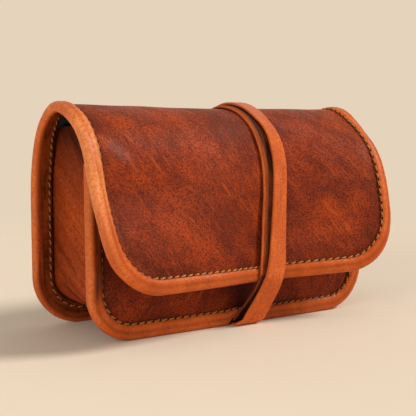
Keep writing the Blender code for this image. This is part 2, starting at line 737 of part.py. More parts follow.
def strap_route():
    """The thong's stations: its middle points, the outward directions, its widths and the girth."""
    supports = np.array(girth_supports())
    behind = np.where(supports[:, 0] > 0.0, np.abs(supports[:, 1] - STRAP_START), 1.0)
    supports = np.roll(supports, -int(np.argmin(behind)), axis=0)
    looped = np.vstack([supports, supports[:1]])
    ring = looped[:, :2] + STRAP_STEP * looped[:, 2:4]
    lengths = np.concatenate([[0.0], np.cumsum(np.linalg.norm(np.diff(ring, axis=0), axis=1))])
    girth = lengths[-1]
    marks = np.concatenate([lengths[:-1] / girth + whole for whole in range(math.ceil(STRAP_TURNS))])
    turns = np.append(marks[marks < STRAP_TURNS - GAP / girth], STRAP_TURNS)
    depth, height, out_y, out_z, _, _, width = [
        np.interp((turns % 1.0) * girth, lengths, column) for column in looped.T
    ]
    normals = np.stack([out_y, out_z], axis=1)
    normals /= np.linalg.norm(normals, axis=1, keepdims=True)
    even = np.linspace(0.0, STRAP_TURNS, round(STRAP_TURNS * girth / STRAP_STATION) + 1)
    middle, offset = [np.interp((even % 1.0) * girth, lengths, looped[:, column]) for column in (4, 5)]
    across = middle + offset * (strap_layer(even) - 0.5)
    for _ in range(STRAP_SMOOTHINGS):
        across[1:-1] = (across[:-2] + 2.0 * across[1:-1] + across[2:]) / 4.0
    across = np.interp(turns, even, across)
    lift = GAP + STRAP_LEATHER / 2 + STRAP_STEP * strap_layer(turns)
    points = np.stack([across, depth + lift * normals[:, 0], height + lift * normals[:, 1]], axis=1)
    outward = np.stack([np.zeros(len(turns)), normals[:, 0], normals[:, 1]], axis=1)
    return points, outward, width, girth


def strap_layer(turns):
    """Layers of thong that lie under it after each number of turns, rising smoothly before a whole turn."""
    layers = [sum(ease((turn - whole + STRAP_RAMP) / STRAP_RAMP) for whole in (1, 2)) for turn in turns]
    return np.array(layers)


def make_strap(finish):
    """The thong: one unbroken ribbon wound round the closed pouch, each turn on the one before."""
    points, outward, widths, girth = strap_route()
    thick = STRAP_LEATHER / 2
    across = np.array([1.0, 0.0, 0.0])
    sections = []
    for point, out, width in zip(points, outward, widths):
        half = width / 2
        inside = half - STRAP_BEVEL
        section = [(inside, thick), (half, thick - STRAP_BEVEL), (half, -thick)]
        section += [(-half, -thick), (-half, thick - STRAP_BEVEL), (-inside, thick)]
        sections.append([tuple(point + across * wide + out * high) for wide, high in section])
    sweep_solid("wrap_strap", sections, finish["strap"])
    report_gap(points, outward, girth)


def report_gap(points, outward, girth):
    """Print the length of the thong and the least gap between its turns, measured on its stations."""
    steps = np.linalg.norm(np.diff(points, axis=0), axis=1)
    distance = np.concatenate([[0.0], np.cumsum(steps)])
    least = girth
    for index, (point, out) in enumerate(zip(points, outward)):
        away = points - point
        ahead = away[:, 1] * out[2] - away[:, 2] * out[1]
        crossing = (ahead[:-1] * ahead[1:] <= 0.0) & (np.abs(distance[:-1] - distance[index]) > girth / 2)
        for other in np.nonzero(crossing)[0]:
            share = ahead[other] / (ahead[other] - ahead[other + 1])
            meeting = away[other] + (away[other + 1] - away[other]) * share
            if np.linalg.norm(meeting) < STRAP_FRONT_WIDTH:
                least = min(least, abs(float(meeting @ out)) - STRAP_LEATHER)
    print(f"thong: {distance[-1] / MM:.0f} mm long, least gap between turns {least / MM:.2f} mm")


def centre_meshes():
    """Move every piece in depth so that the middle of the whole pouch is at the origin, and give the move."""
    meshes = [thing.data for thing in bpy.context.scene.collection.objects if thing.type == "MESH"]
    depths = [vertex.co.y for mesh in meshes for vertex in mesh.vertices]
    shift = -(min(depths) + max(depths)) / 2
    for mesh in meshes:
        mesh.transform(Matrix.Translation((0.0, shift, 0.0)))
    print(f"front panel's middle surface at y = {shift / MM:.3f} mm")
    return shift


def add_pivot(name, place):
    """An empty on a joint's axis."""
    pivot = bpy.data.objects.new(f"{name}_pivot", None)
    bpy.context.scene.collection.objects.link(pivot)
    pivot.location = place
    return pivot


def hang_on(thing, pivot):
    """Parent an object to a pivot and leave it where it is."""
    thing.parent = pivot
    thing.matrix_parent_inverse = pivot.matrix_world.inverted()


def hang_on_pivots(shift):
    """Parent every moving piece to an empty on its joint's axis, just outside the binding's face."""
    pivots = {"wrap_strap": add_pivot("wrap_strap", (0.0, 0.0, 0.0))}
    for name, s in (("flap_rear", REAR_FOLD), ("flap_mid", MID_FOLD), ("flap_front", FRONT_FOLD)):
        _, y, z = shell_point(SHELL_WIDTH / 2, s, PIVOT_HEIGHT)
        pivots[name] = add_pivot(name, (0.0, y + shift, z))
        print(f"{name} pivot at y = {(y + shift) / MM:.3f} mm, z = {z / MM:.3f} mm")
    bpy.context.view_layer.update()
    for parent, child in (("flap_rear", "flap_mid"), ("flap_mid", "flap_front")):
        hang_on(pivots[child], pivots[parent])
    for thing in bpy.context.scene.collection.objects:
        for name, pivot in pivots.items():
            if thing.type == "MESH" and thing.name.startswith(name):
                hang_on(thing, pivot)


def main():
    """Build the whole pouch."""
    clear_scene()
    finish = {
        "leather": material("mahogany_leather", (0.26, 0.055, 0.022), 0.45),
        "binding": material("tan_leather", (0.52, 0.17, 0.05), 0.5),
        "gusset": material("gusset_leather", (0.28, 0.07, 0.02), 0.6),
        "lining": material("rubbered_lining", (0.008, 0.018, 0.013), 0.75),
        "thread": material("golden_thread", (0.48, 0.24, 0.06), 0.7),
        "strap": material("suede_thong", (0.55, 0.19, 0.06), 0.8),
    }
    make_back(finish)
    rises = shell_rises()
    make_fold("flap_rear", rises[1], finish)
    make_fold("flap_mid", rises[2], finish)
    make_flap(finish)
    make_front(finish)
    make_gusset(finish)
    make_pocket(finish)
    make_strap(finish)
    hang_on_pivots(centre_meshes())


main()
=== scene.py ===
"""Leather tobacco pouch, closed by its flap and by a wound thong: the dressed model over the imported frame.

The shell is one long piece of leather: back, top and flap. Its points are given by x, by the run s along its
side profile and by the height v over its middle surface. The front panel is a second sheet, the gusset joins
the two, and rolled bindings hold every edge. The front faces -Y and Z is up.
"""

import logging
import math
from dataclasses import dataclass
from enum import Enum
from typing import Callable, Sequence

import bmesh
import bpy
import numpy as np
from bpy.types import ID, Material, Node, NodeSocket, NodeTree, Object
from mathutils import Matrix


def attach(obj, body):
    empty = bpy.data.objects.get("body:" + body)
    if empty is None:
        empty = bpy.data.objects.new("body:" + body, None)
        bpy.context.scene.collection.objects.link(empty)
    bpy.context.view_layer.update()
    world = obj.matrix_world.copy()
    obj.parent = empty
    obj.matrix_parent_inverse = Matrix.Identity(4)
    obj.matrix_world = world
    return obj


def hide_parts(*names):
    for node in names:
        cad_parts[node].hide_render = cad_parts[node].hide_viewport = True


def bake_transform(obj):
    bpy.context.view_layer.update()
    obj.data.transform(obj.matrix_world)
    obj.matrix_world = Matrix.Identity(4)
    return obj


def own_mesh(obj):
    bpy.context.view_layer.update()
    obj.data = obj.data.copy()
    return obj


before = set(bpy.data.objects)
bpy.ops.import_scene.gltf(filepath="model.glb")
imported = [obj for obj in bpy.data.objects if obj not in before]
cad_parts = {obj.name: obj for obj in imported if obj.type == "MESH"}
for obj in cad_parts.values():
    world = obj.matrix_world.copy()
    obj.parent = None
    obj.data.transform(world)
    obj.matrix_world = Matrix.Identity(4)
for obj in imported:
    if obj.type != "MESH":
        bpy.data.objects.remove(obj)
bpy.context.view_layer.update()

LOG = logging.getLogger("pouch")
Array = np.ndarray
Place = Callable[[Array, Array, Array], Array]
Stations = tuple[Array, Array, Array, Array]
Span = tuple[float, float]
Triple = tuple[float, float, float]
Colour = Triple

MM = 0.001
DEGREE = math.pi / 180.0
FRONT_Y = -14.806 * MM

# Thicknesses, and the small gap between neighbours
LEATHER = 1.5 * MM
LINING = 0.8 * MM
GUSSET_LEATHER = 0.8 * MM
BINDING_LEATHER = 1.0 * MM
POCKET_LEATHER = 1.0 * MM
GAP = 0.3 * MM

# The front panel and the shell
FRONT_WIDTH, FRONT_RADIUS, FRONT_HEIGHT = 155.0 * MM, 22.0 * MM, 77.0 * MM
SHELL_WIDTH, SHELL_RADIUS, FLAP_RADIUS = 164.0 * MM, 23.8 * MM, 28.0 * MM
BACK_DEPTH = 46.9 * MM
PROFILE = (
    (59.4 * MM, 0.0),
    (26.9 * MM, 22.8 * DEGREE),
    (49.7 * MM, 120.4 * DEGREE),
    (27.3 * MM, 13.1 * DEGREE),
    (45.7 * MM, 16.1 * DEGREE),
)
SHELL_RUN = sum(run for run, _ in PROFILE)
REAR_FOLD, MID_FOLD, FRONT_FOLD = 97.0 * MM, 115.0 * MM, 133.0 * MM
REAR_SEAM, FRONT_SEAM = 106.0 * MM, 124.0 * MM
FOLD_REACH = 8.0 * MM

# By how much of its width the flap gets narrower at each side, -1 left and 1 right
FLAP_TAPER = {-1: 0.036, 1: 0.028}
# How its open ends stand out and sink in, in millimetres: most, run and reach of each bell, and where across
# the bells start and over how much they grow. Then how far the edges curl in, where across and where along
# the run the curl starts, and over how much run it grows.
FLARES = {
    -1: ((1.4, 111.0, 9.5), (3.5, 145.0, 15.0), (-3.2, 165.0, 18.2)),
    1: ((0.5, 110.0, 9.0), (4.8, 157.0, 32.0), (-3.8, 127.0, 14.5)),
}
FLARE_ACROSS = {-1: (5.0, 75.0), 1: (30.0, 50.0)}
CURLS = {-1: (-6.5, 71.3, 143.0, 26.6), 1: (5.3, 67.0, 118.0, 24.4)}

# The rolled binding, and the trim of its inner leg: all along, and more from the start of the fold on
ROLL, OUTER_LEG, INNER_LEG = 5.2 * MM, 6.6 * MM, 10.3 * MM
MOUTH_LEG = 5.5 * MM
TRIM, TOP_TRIM, TRIM_START, TRIM_REACH = 1.0 * MM, 1.5 * MM, 72.0 * MM, 30.0 * MM
# Heights over a sheet's middle surface: the slot that holds it, the binding's legs and the gusset's flange
SLOT_OUT = LEATHER / 2 + GAP
SLOT_IN = -(LEATHER / 2 + GAP + LINING + GAP)
LEG_TOP = SLOT_OUT + BINDING_LEATHER
LEG_BASE = SLOT_IN - BINDING_LEATHER
FLANGE_TOP = -(LEATHER / 2 + GAP)
FLANGE_BASE = FLANGE_TOP - LINING
EDGE_INSET = BINDING_LEATHER + GAP

# The gusset, how far its back corner goes up, and from where over that corner the shell's lining is wide
GUSSET_INSET, GUSSET_BACK_TOP, CREST_MARGIN = 10.2 * MM, 95.5 * MM, -1.2 * MM
CLOTH_INSET = GUSSET_INSET + GUSSET_LEATHER + LINING + 2 * GAP

# The slip pocket
POCKET_WIDTH, POCKET_TOP, POCKET_BASE = 104.0 * MM, 66.0 * MM, 17.0 * MM
POCKET_SPACE, POCKET_HEM, POCKET_BEND = 5.0 * MM, 3.5 * MM, 6.0 * MM

# Where the front's left edge is shaded and where the stitches are pulled in: start, and how fast it grows
LEG_SHADE = (12.0 * MM, 14.0 * MM)
TIGHT_ACROSS, TIGHT_RUN = (56.0 * MM, 10.0 * MM), (97.0 * MM, 8.0 * MM)

# The thread, and how far inside an edge its row lies
THREAD, STITCH = 0.8 * MM, 3.8 * MM
SEAM_INSET = OUTER_LEG + GAP + THREAD / 2

# The thong's middle along X, by the share of the shell's run, and the dents and lifts that it makes
THONG_SHARES = (0.0, 0.24, 0.43, 0.51, 0.54, 0.565, 0.615, 0.665, 0.71, 0.756, 0.85, 0.943, 1.0)
THONG_MIDDLES = (3.0, 4.0, 8.0, 10.0, 11.5, 13.0, 16.5, 19.0, 20.0, 19.6, 16.2, 12.2, 10.0)
THONG_BACK_X, THONG_FLAP_X, THONG_FRONT_X = 3.0 * MM, 10.0 * MM, 3.2 * MM
DENT_BROAD, DENT_LOCAL, DENT_REACH = 8.4 * MM, 6.4 * MM, 22.0 * MM
DENT_START, DENT_FULL = 106.0 * MM, 190.0 * MM
FRONT_DENT, FRONT_DENT_START = 9.0 * MM, 26.0 * MM
LIFT, LIFT_HALF, LIFT_FADE, LIFT_HEIGHT = 3.13 * MM, 6.7 * MM, 2.1 * MM, 12.0 * MM

# The thong's stations: x, y, z in millimetres, the outward angle in degrees from +Y to +Z, and the width
THONG_ROUTE = (
    (5.6, 34.08, 47.76, 2, 8.7), (5.9, 33.95, 52.61, 2, 8.6), (6.2, 33.82, 57.46, 2, 8.6),
    (6.5, 33.68, 62.33, 3, 8.5), (6.8, 33.34, 66.87, 6, 8.5), (7.1, 32.70, 71.38, 10, 8.5),
    (7.4, 31.77, 75.83, 14, 8.5), (7.7, 30.54, 80.22, 17, 8.4), (8.0, 29.03, 84.52, 22, 8.4),
    (8.3, 27.10, 88.77, 29, 8.4), (8.6, 24.40, 92.68, 40, 8.4), (8.9, 21.02, 96.02, 51, 8.4),
    (9.1, 17.08, 98.67, 62, 8.4), (9.2, 12.70, 100.53, 73, 8.4), (9.2, 8.00, 101.40, 86, 8.4),
    (9.8, 3.27, 101.15, 100, 8.4), (11.2, -1.22, 99.85, 113, 8.4), (12.5, -5.22, 97.62, 126, 8.4),
    (13.6, -8.53, 94.65, 138, 8.4), (14.9, -11.02, 91.14, 150, 8.4), (15.8, -12.78, 87.22, 158, 8.4),
    (16.5, -14.36, 83.04, 161, 8.4), (16.9, -15.73, 78.83, 163, 8.4), (16.9, -16.91, 74.61, 165, 8.4),
    (16.8, -18.03, 69.99, 166, 8.7), (16.4, -19.15, 65.39, 166, 9.0), (15.8, -20.27, 60.78, 166, 9.2),
    (14.9, -21.39, 56.18, 166, 9.5), (13.9, -22.51, 51.57, 166, 9.8), (13.0, -23.63, 46.97, 166, 10.1),
    (12.2, -24.75, 42.37, 166, 10.4), (11.3, -25.87, 37.76, 166, 10.6), (10.4, -26.99, 33.16, 166, 10.9),
    (9.3, -28.12, 28.49, 170, 11.2), (8.4, -28.59, 24.10, 174, 11.2), (8.2, -28.59, 23.90, 186, 11.2),
    (8.2, -28.55, 23.72, 198, 11.2), (8.0, -27.93, 21.85, 204, 11.2), (8.0, -27.44, 20.98, 210, 11.2),
    (7.6, -25.32, 17.43, 211, 11.2), (6.6, -23.20, 13.89, 211, 11.2), (5.4, -21.08, 10.35, 211, 11.2),
    (3.9, -18.97, 6.80, 211, 11.2), (2.8, -16.85, 3.26, 211, 11.2), (2.6, -16.70, 3.08, 226, 11.2),
    (2.5, -16.51, 2.94, 241, 11.2), (2.4, -15.44, 2.34, 241, 11.2), (2.4, -15.23, 2.26, 255, 11.2),
    (2.4, -15.01, 2.23, 270, 11.2), (2.4, -10.22, 2.23, 270, 11.0), (2.4, -5.44, 2.23, 270, 10.8),
    (2.5, -0.65, 2.23, 270, 10.5), (2.5, 4.13, 2.23, 270, 10.3), (2.5, 8.92, 2.23, 270, 10.1),
    (2.5, 13.70, 2.23, 270, 9.9), (2.4, 18.49, 2.23, 270, 9.7), (2.3, 23.27, 2.23, 270, 9.4),
    (2.2, 28.06, 2.23, 270, 9.2), (2.1, 32.84, 2.23, 270, 9.0), (2.1, 33.10, 2.27, 286, 9.0),
    (2.5, 33.33, 2.37, 303, 9.0), (2.9, 33.52, 2.54, 319, 9.0), (3.2, 34.10, 3.21, 325, 9.0),
    (3.6, 34.93, 4.70, 331, 9.0), (4.0, 35.01, 4.90, 345, 9.0), (4.4, 35.04, 5.11, 358, 9.0),
    (4.8, 35.18, 8.92, 360, 9.0), (5.2, 35.18, 13.80, 362, 9.0), (5.5, 35.26, 18.66, 362, 8.9),
    (5.9, 35.39, 23.52, 362, 8.9), (6.3, 35.53, 28.38, 362, 8.8), (6.7, 35.67, 33.23, 362, 8.8),
    (7.1, 35.76, 38.09, 362, 8.7), (7.4, 35.78, 42.95, 362, 8.7), (7.8, 35.71, 47.80, 362, 8.7),
    (8.2, 35.58, 52.65, 362, 8.6), (8.6, 35.44, 57.50, 362, 8.6), (9.0, 35.31, 62.42, 363, 8.5),
    (9.3, 34.96, 67.04, 366, 8.5), (9.7, 34.31, 71.66, 370, 8.5), (10.1, 33.35, 76.22, 374, 8.2),
    (10.5, 32.09, 80.71, 377, 8.0), (10.9, 30.54, 85.13, 382, 7.8), (11.3, 28.51, 89.57, 389, 7.6),
    (11.6, 25.65, 93.73, 400, 7.4), (12.0, 22.06, 97.28, 411, 7.2), (12.4, 17.86, 100.10, 422, 7.0),
    (12.7, 13.17, 102.09, 433, 7.0), (13.1, 8.11, 103.02, 446, 7.0), (13.9, 3.00, 102.76, 460, 7.0),
    (15.0, -1.85, 101.36, 473, 6.8), (16.2, -6.16, 98.95, 486, 6.7), (17.7, -9.75, 95.73, 498, 6.6),
    (19.6, -12.43, 91.95, 510, 6.8), (21.1, -14.29, 87.85, 518, 7.4), (21.8, -15.90, 83.58, 521, 8.0),
    (22.0, -17.29, 79.30, 523, 8.2), (21.9, -18.48, 75.02, 525, 8.3), (21.4, -19.61, 70.38, 526, 8.4),
    (20.6, -20.73, 65.77, 526, 8.4), (19.6, -21.85, 61.17, 526, 8.4), (18.6, -22.97, 56.56, 526, 8.5),
    (17.5, -24.09, 51.96, 526, 8.7), (16.5, -25.22, 47.35, 526, 9.0), (15.4, -26.34, 42.75, 526, 9.3),
    (14.3, -27.46, 38.15, 526, 9.7), (13.2, -28.58, 33.54, 526, 10.2), (11.8, -29.73, 28.77, 530, 10.9),
    (10.4, -30.21, 24.27, 534, 11.2), (10.2, -30.21, 23.73, 546, 11.2), (10.1, -30.10, 23.21, 558, 11.2),
    (9.8, -29.42, 21.20, 564, 11.3), (9.0, -27.40, 16.59, 566, 11.9), (8.0, -25.90, 13.05, 565, 12.3),
    (6.9, -24.30, 9.51, 565, 12.7), (5.8, -22.70, 5.97, 565, 13.0), (4.6, -21.00, 2.60, 570, 13.2),
    (3.6, -20.60, 1.95, 585, 13.3), (3.4, -20.00, 1.50, 600, 13.3), (3.2, -18.80, 0.95, 606, 13.2),
    (3.0, -17.60, 0.70, 617, 13.0), (3.0, -15.90, 0.60, 630, 12.8), (3.0, -15.01, 0.60, 630, 12.5),
    (3.2, -10.22, 0.60, 630, 11.8), (3.5, -5.44, 0.60, 630, 11.4), (3.8, -0.65, 0.60, 630, 11.0),
    (4.1, 4.13, 0.60, 630, 10.7), (4.2, 8.92, 0.60, 630, 10.4), (5.0, 13.70, 0.60, 630, 9.9),
    (4.7, 18.49, 0.60, 630, 9.7), (4.5, 23.27, 0.60, 630, 9.4), (4.3, 28.06, 0.60, 630, 9.2),
    (4.1, 32.84, 0.60, 630, 9.0), (4.1, 33.55, 0.70, 646, 9.0), (4.1, 34.21, 1.00, 663, 9.0),
    (4.1, 34.75, 1.47, 679, 9.0), (4.1, 35.44, 2.27, 685, 9.0), (4.1, 36.36, 3.91, 691, 9.0),
    (4.1, 36.59, 4.47, 705, 9.0), (4.1, 36.67, 5.07, 718, 9.0), (4.5, 36.81, 8.92, 720, 9.0),
    (5.1, 36.81, 13.84, 722, 9.0), (5.6, 36.89, 18.70, 722, 8.9), (6.2, 37.02, 23.56, 722, 8.9),
    (6.7, 37.16, 28.42, 722, 8.8), (7.3, 37.29, 33.28, 722, 8.8), (7.8, 37.39, 38.14, 722, 8.7),
    (8.4, 37.41, 42.99, 722, 8.7), (8.9, 37.34, 47.85, 722, 8.7), (9.5, 37.21, 52.70, 722, 8.6),
    (10.0, 37.07, 57.55, 722, 8.6), (10.6, 36.94, 62.50, 723, 8.5), (11.1, 36.58, 67.22, 726, 8.5),
    (11.7, 35.91, 71.94, 730, 8.5), (12.2, 34.95, 76.52, 734, 8.5),
)


class Slot(Enum):
    """Names of the pouch's finishes."""

    LEATHER = "mahogany_leather"
    BINDING = "tan_leather"
    GUSSET = "gusset_leather"
    LINING = "rubbered_lining"
    THREAD = "golden_thread"
    THONG = "suede_thong"


class Side(Enum):
    """The two sides of the pouch."""

    LEFT = -1
    RIGHT = 1


def ease(value: Array) -> Array:
    """Rise smoothly from 0 to 1 as the value goes from 0 to 1."""
    value = np.clip(value, 0.0, 1.0)
    return value * value * (3.0 - 2.0 * value)


def bell(value: Array, middle: float, reach: float) -> Array:
    """Bell-shaped weight: e to the power of minus the square of the distance as a share of the reach."""
    return np.exp(-(((value - middle) / reach) ** 2))


def grown(value: Array, span: Span) -> Array:
    """Rise smoothly from 0 at the span's start to 1 after its second number."""
    return ease((value - span[0]) / span[1])


def walked(points: Array) -> Array:
    """Distance of each point along the line through all of them."""
    return np.concatenate([[0.0], np.cumsum(np.linalg.norm(np.diff(points, axis=0), axis=1))])


def stacked(*values: Array | float) -> Array:
    """Bring values to one shape and stack them along a last axis."""
    return np.stack(np.broadcast_arrays(*values), axis=-1)


def ripple(along: Array, lengths: Sequence[float], phase: float) -> Array:
    """Slow, uneven waves between -1 and 1: the mean of sines of several lengths, each with its own phase."""
    waves = [
        np.sin(2 * math.pi * along / length + phase * (2.3 + number * 1.7))
        for number, length in enumerate(lengths)
    ]
    return sum(waves) / len(lengths)


def hermite(marks: Array, distance: Array, rows: Array) -> Array:
    """Smooth curve through rows of values: on each span a cubic that meets both ends' values and slopes.

    Args:
        marks: Distances at which the curve is wanted.
        distance: Distance of each row.
        rows: Values, one row a station.

    Returns:
        One row of values for each mark.
    """
    slopes = np.gradient(rows, distance, axis=0)
    index = np.clip(np.searchsorted(distance, marks, side="right") - 1, 0, len(distance) - 2)
    span = (distance[index + 1] - distance[index])[:, None]
    t = (marks - distance[index])[:, None] / span
    start, end = rows[index], rows[index + 1]
    start_slope, end_slope = slopes[index] * span, slopes[index + 1] * span
    rising = t * t * (3.0 - 2.0 * t)
    return start + (end - start) * rising + start_slope * t * (1 - t) ** 2 - end_slope * t * t * (1 - t)


def profile_place(s: Array) -> tuple[Array, Array, Array]:
    """Follow the side profile: each arc adds radius times the change of the heading's cosine and sine.

    Args:
        s: Run along the profile from the lower back edge.

    Returns:
        Depth, height and heading of the shell's middle surface.
    """
    left = np.array(s, float)
    depth, height, heading = np.full(left.shape, BACK_DEPTH), np.zeros(left.shape), np.zeros(left.shape)
    for run, turn in PROFILE:
        part = np.clip(left, 0.0, run)
        if turn:
            bend, radius = turn * part / run, run / turn
            depth += radius * (np.cos(heading + bend) - np.cos(heading))
            height += radius * (np.sin(heading + bend) - np.sin(heading))
            heading = heading + bend
        else:
            depth -= part * np.sin(heading)
            height += part * np.cos(heading)
        left = left - run
    return depth, height, heading


def dent_shape(x: Array, middle: Array | float) -> Array:
    """A broad bow over the whole width, one less the square of the share, and a bell-shaped hollow."""
    away = x - middle
    span = SHELL_WIDTH / 2 + np.where(away < 0.0, middle, -np.asarray(middle))
    broad = np.maximum(0.0, 1.0 - (away / span) ** 2)
    return DENT_BROAD * broad + DENT_LOCAL * bell(away, 0.0, DENT_REACH)


def lift_shape(x: Array, middle: float, height: Array) -> Array:
    """Lift of a lower edge over the thong: falls with the square of the height and beside the thong."""
    fade = np.maximum(0.0, 1.0 - np.maximum(height, 0.0) / LIFT_HEIGHT) ** 2
    return LIFT * fade * ease((LIFT_HALF + LIFT_FADE - np.abs(x - middle)) / LIFT_FADE)


def flare_shape(x: Array, s: Array) -> Array:
    """How far the fold's open ends stand out: a sum of bells along the run, less a curl at the very edge."""
    out = np.zeros(np.broadcast(x, s).shape)
    for side in (-1, 1):
        share = grown(side * x / MM, FLARE_ACROSS[side])
        for most, run, reach in FLARES[side]:
            out = out + most * MM * share * bell(s / MM, run, reach)
        most, across, start, over = CURLS[side]
        edge = np.clip((side * x / MM - across) / (SHELL_WIDTH / (2 * MM) - across), 0.0, 1.0)
        out = out - most * MM * edge**2 * ease((s / MM - start) / over)
    return out


def shell_base(x: Array, s: Array) -> Array:
    """Point of the shell's middle surface: the profile's place, moved out by the flare and in by the dent."""
    depth, height, heading = profile_place(s)
    taper = np.where(x < 0.0, FLAP_TAPER[-1], FLAP_TAPER[1])
    x = x * (1.0 - taper * ease((s - FRONT_FOLD) / (SHELL_RUN - FRONT_FOLD)))
    middle = np.interp(s / SHELL_RUN, THONG_SHARES, np.array(THONG_MIDDLES) * MM)
    out = flare_shape(x, s) - ease((s - DENT_START) / (DENT_FULL - DENT_START)) * dent_shape(x, middle)
    y = depth + out * np.cos(heading) + FRONT_Y
    z = height + out * np.sin(heading) + lift_shape(x, THONG_BACK_X, s)
    return np.stack([x, y, z], axis=-1)


def shell_point(x: Array, s: Array, v: Array) -> Array:
    """Point of the shell at the height v over its middle surface, along the surface's own outward normal."""
    x, s, v = np.broadcast_arrays(np.asarray(x, float), np.asarray(s, float), np.asarray(v, float))
    step = 0.05 * MM
    along = shell_base(x, s + step) - shell_base(x, s - step)
    across = shell_base(x + step, s) - shell_base(x - step, s)
    normal = np.cross(along, across)
    return shell_base(x, s) + v[..., None] * normal / np.linalg.norm(normal, axis=-1, keepdims=True)


def flap_point(x: Array, rise: Array, v: Array) -> Array:
    """Point of the flap, with the rise measured from its lower edge."""
    return shell_point(x, SHELL_RUN - np.asarray(rise, float), v)


def front_point(x: Array, rise: Array, v: Array) -> Array:
    """Point of the front panel: upright, pressed back towards its top by the thong's dent."""
    x, rise, v = np.broadcast_arrays(np.asarray(x, float), np.asarray(rise, float), np.asarray(v, float))
    press = FRONT_DENT * ease((rise - FRONT_DENT_START) / (FRONT_HEIGHT - FRONT_DENT_START))
    share = dent_shape(x, THONG_FLAP_X) / (DENT_BROAD + DENT_LOCAL)
    return np.stack([x, press * share - v + FRONT_Y, rise + lift_shape(x, THONG_FRONT_X, rise)], axis=-1)


def pocket_point(x: Array, rise: Array, v: Array) -> Array:
    """Point of the back, with the rise measured from the slip pocket's foot."""
    return shell_point(x, np.asarray(rise, float) + POCKET_BASE, v)


def run_of(place: Place, rise: Array) -> Array:
    """Run along the shell's profile: on the flap the rise is measured from its lower edge."""
    return SHELL_RUN - rise if place is flap_point else rise


def inside(place: Place, stations: Stations, inset: Array | float, height: Array | float) -> Array:
    """Points that lie inset from an edge's stations, at a height over the surface."""
    x, rise, out_x, out_rise = stations
    return place(x - inset * out_x, rise - inset * out_rise, height)


@dataclass(frozen=True)
class Outline:
    """A sheet's edge: a U with round lower corners, or one straight side.

    Attributes:
        place: The surface that the sheet lies on.
        width: Whole width of the sheet.
        radius: Radius of the lower corners.
        top: Rise at which the U's arms end.
    """

    place: Place
    width: float
    radius: float
    top: float

    def length(self, inset: float) -> float:
        """Length of the line that lies inset from the edge."""
        arm = self.top - self.radius
        return 2 * arm + math.pi * (self.radius - inset) + self.width - 2 * self.radius

    def stations(self, distance: Array, inset: float) -> Stations:
        """Walk the inset line: down the left arm, round a quarter circle, along, round again and up.

        Args:
            distance: Distances from the top of the left arm.
            inset: How far inside the edge the line lies.

        Returns:
            x and rise on the edge itself, and the direction that points out of the sheet.
        """
        arm, corner = self.top - self.radius, math.pi / 2 * (self.radius - inset)
        straight = self.width - 2 * self.radius
        half = self.width / 2 - self.radius
        first = np.clip((distance - arm) / corner, 0.0, 1.0)
        second = np.clip((distance - arm - corner - straight) / corner, 0.0, 1.0)
        angle = (first + second) * math.pi / 2
        out_x, out_rise = -np.cos(angle), -np.sin(angle)
        along = np.clip(distance - arm - corner, 0.0, straight)
        down = np.clip(distance, 0.0, arm)
        up = np.clip(distance - arm - 2 * corner - straight, 0.0, arm)
        x = -half + along + self.radius * out_x
        rise = self.radius + self.radius * out_rise + (arm - down) + up
        return x, rise, out_x, out_rise

    def inset_of(self, x: Array, rise: Array) -> Array:
        """How far each place lies inside the edge."""
        half = self.width / 2
        side, foot = half - np.abs(x), rise
        in_x, in_rise = np.maximum(0.0, self.radius - side), np.maximum(0.0, self.radius - foot)
        corner = (in_x > 0.0) & (in_rise > 0.0)
        return np.where(corner, self.radius - np.hypot(in_x, in_rise), np.minimum(side, foot))


@dataclass(frozen=True)
class Straight:
    """A straight edge or row, walked like an Outline: from its start along its way, with one side out."""

    place: Place
    start: Span
    way: Span
    out: Span
    reach: float

    def length(self, inset: float) -> float:
        """Length of the walk, the same at every inset."""
        return self.reach

    def stations(self, distance: Array, inset: float) -> Stations:
        """Walk from the start: x and rise change evenly with the distance."""
        x, rise = (at + way * distance for at, way in zip(self.start, self.way))
        ones = np.ones_like(distance)
        return x, rise, self.out[0] * ones, self.out[1] * ones


Edge = Outline | Straight

BACK_EDGE = Outline(shell_point, SHELL_WIDTH, SHELL_RADIUS, REAR_SEAM)
FLAP_EDGE = Outline(flap_point, SHELL_WIDTH, FLAP_RADIUS, SHELL_RUN - FRONT_SEAM)
FRONT_EDGE = Outline(front_point, FRONT_WIDTH, FRONT_RADIUS, FRONT_HEIGHT)


@dataclass(frozen=True)
class Fold:
    """A fold of the shell, and the two bodies that it joins."""

    run: float
    before: str
    after: str

    def bend(self, piece: Object) -> None:
        """Bake the piece's transform into its mesh; it is not bent across the fold."""
        start, end = (shell_point(0.0, self.run + step, 0.0) for step in (-FOLD_REACH, FOLD_REACH))
        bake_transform(piece)


REAR = Fold(REAR_FOLD, "pouch_body", "flap_rear")
MIDDLE = Fold(MID_FOLD, "flap_rear", "flap_mid")
FRONT = Fold(FRONT_FOLD, "flap_mid", "flap_front")


def settle(piece: Object, home: Fold | str, nodes: Sequence[str]) -> None:
    """Hang a piece on its body or bake its transform at a fold, and hide the solids that it stands for.

    Args:
        piece: The finished piece.
        home: The fold that it lies across, or the body that it rides on.
        nodes: The solids that it replaces.
    """
    if isinstance(home, Fold):
        home.bend(piece)
    else:
        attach(piece, home)
    if nodes:
        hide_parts(*nodes)
    LOG.info("%s: %d faces", piece.name, len(piece.data.polygons))


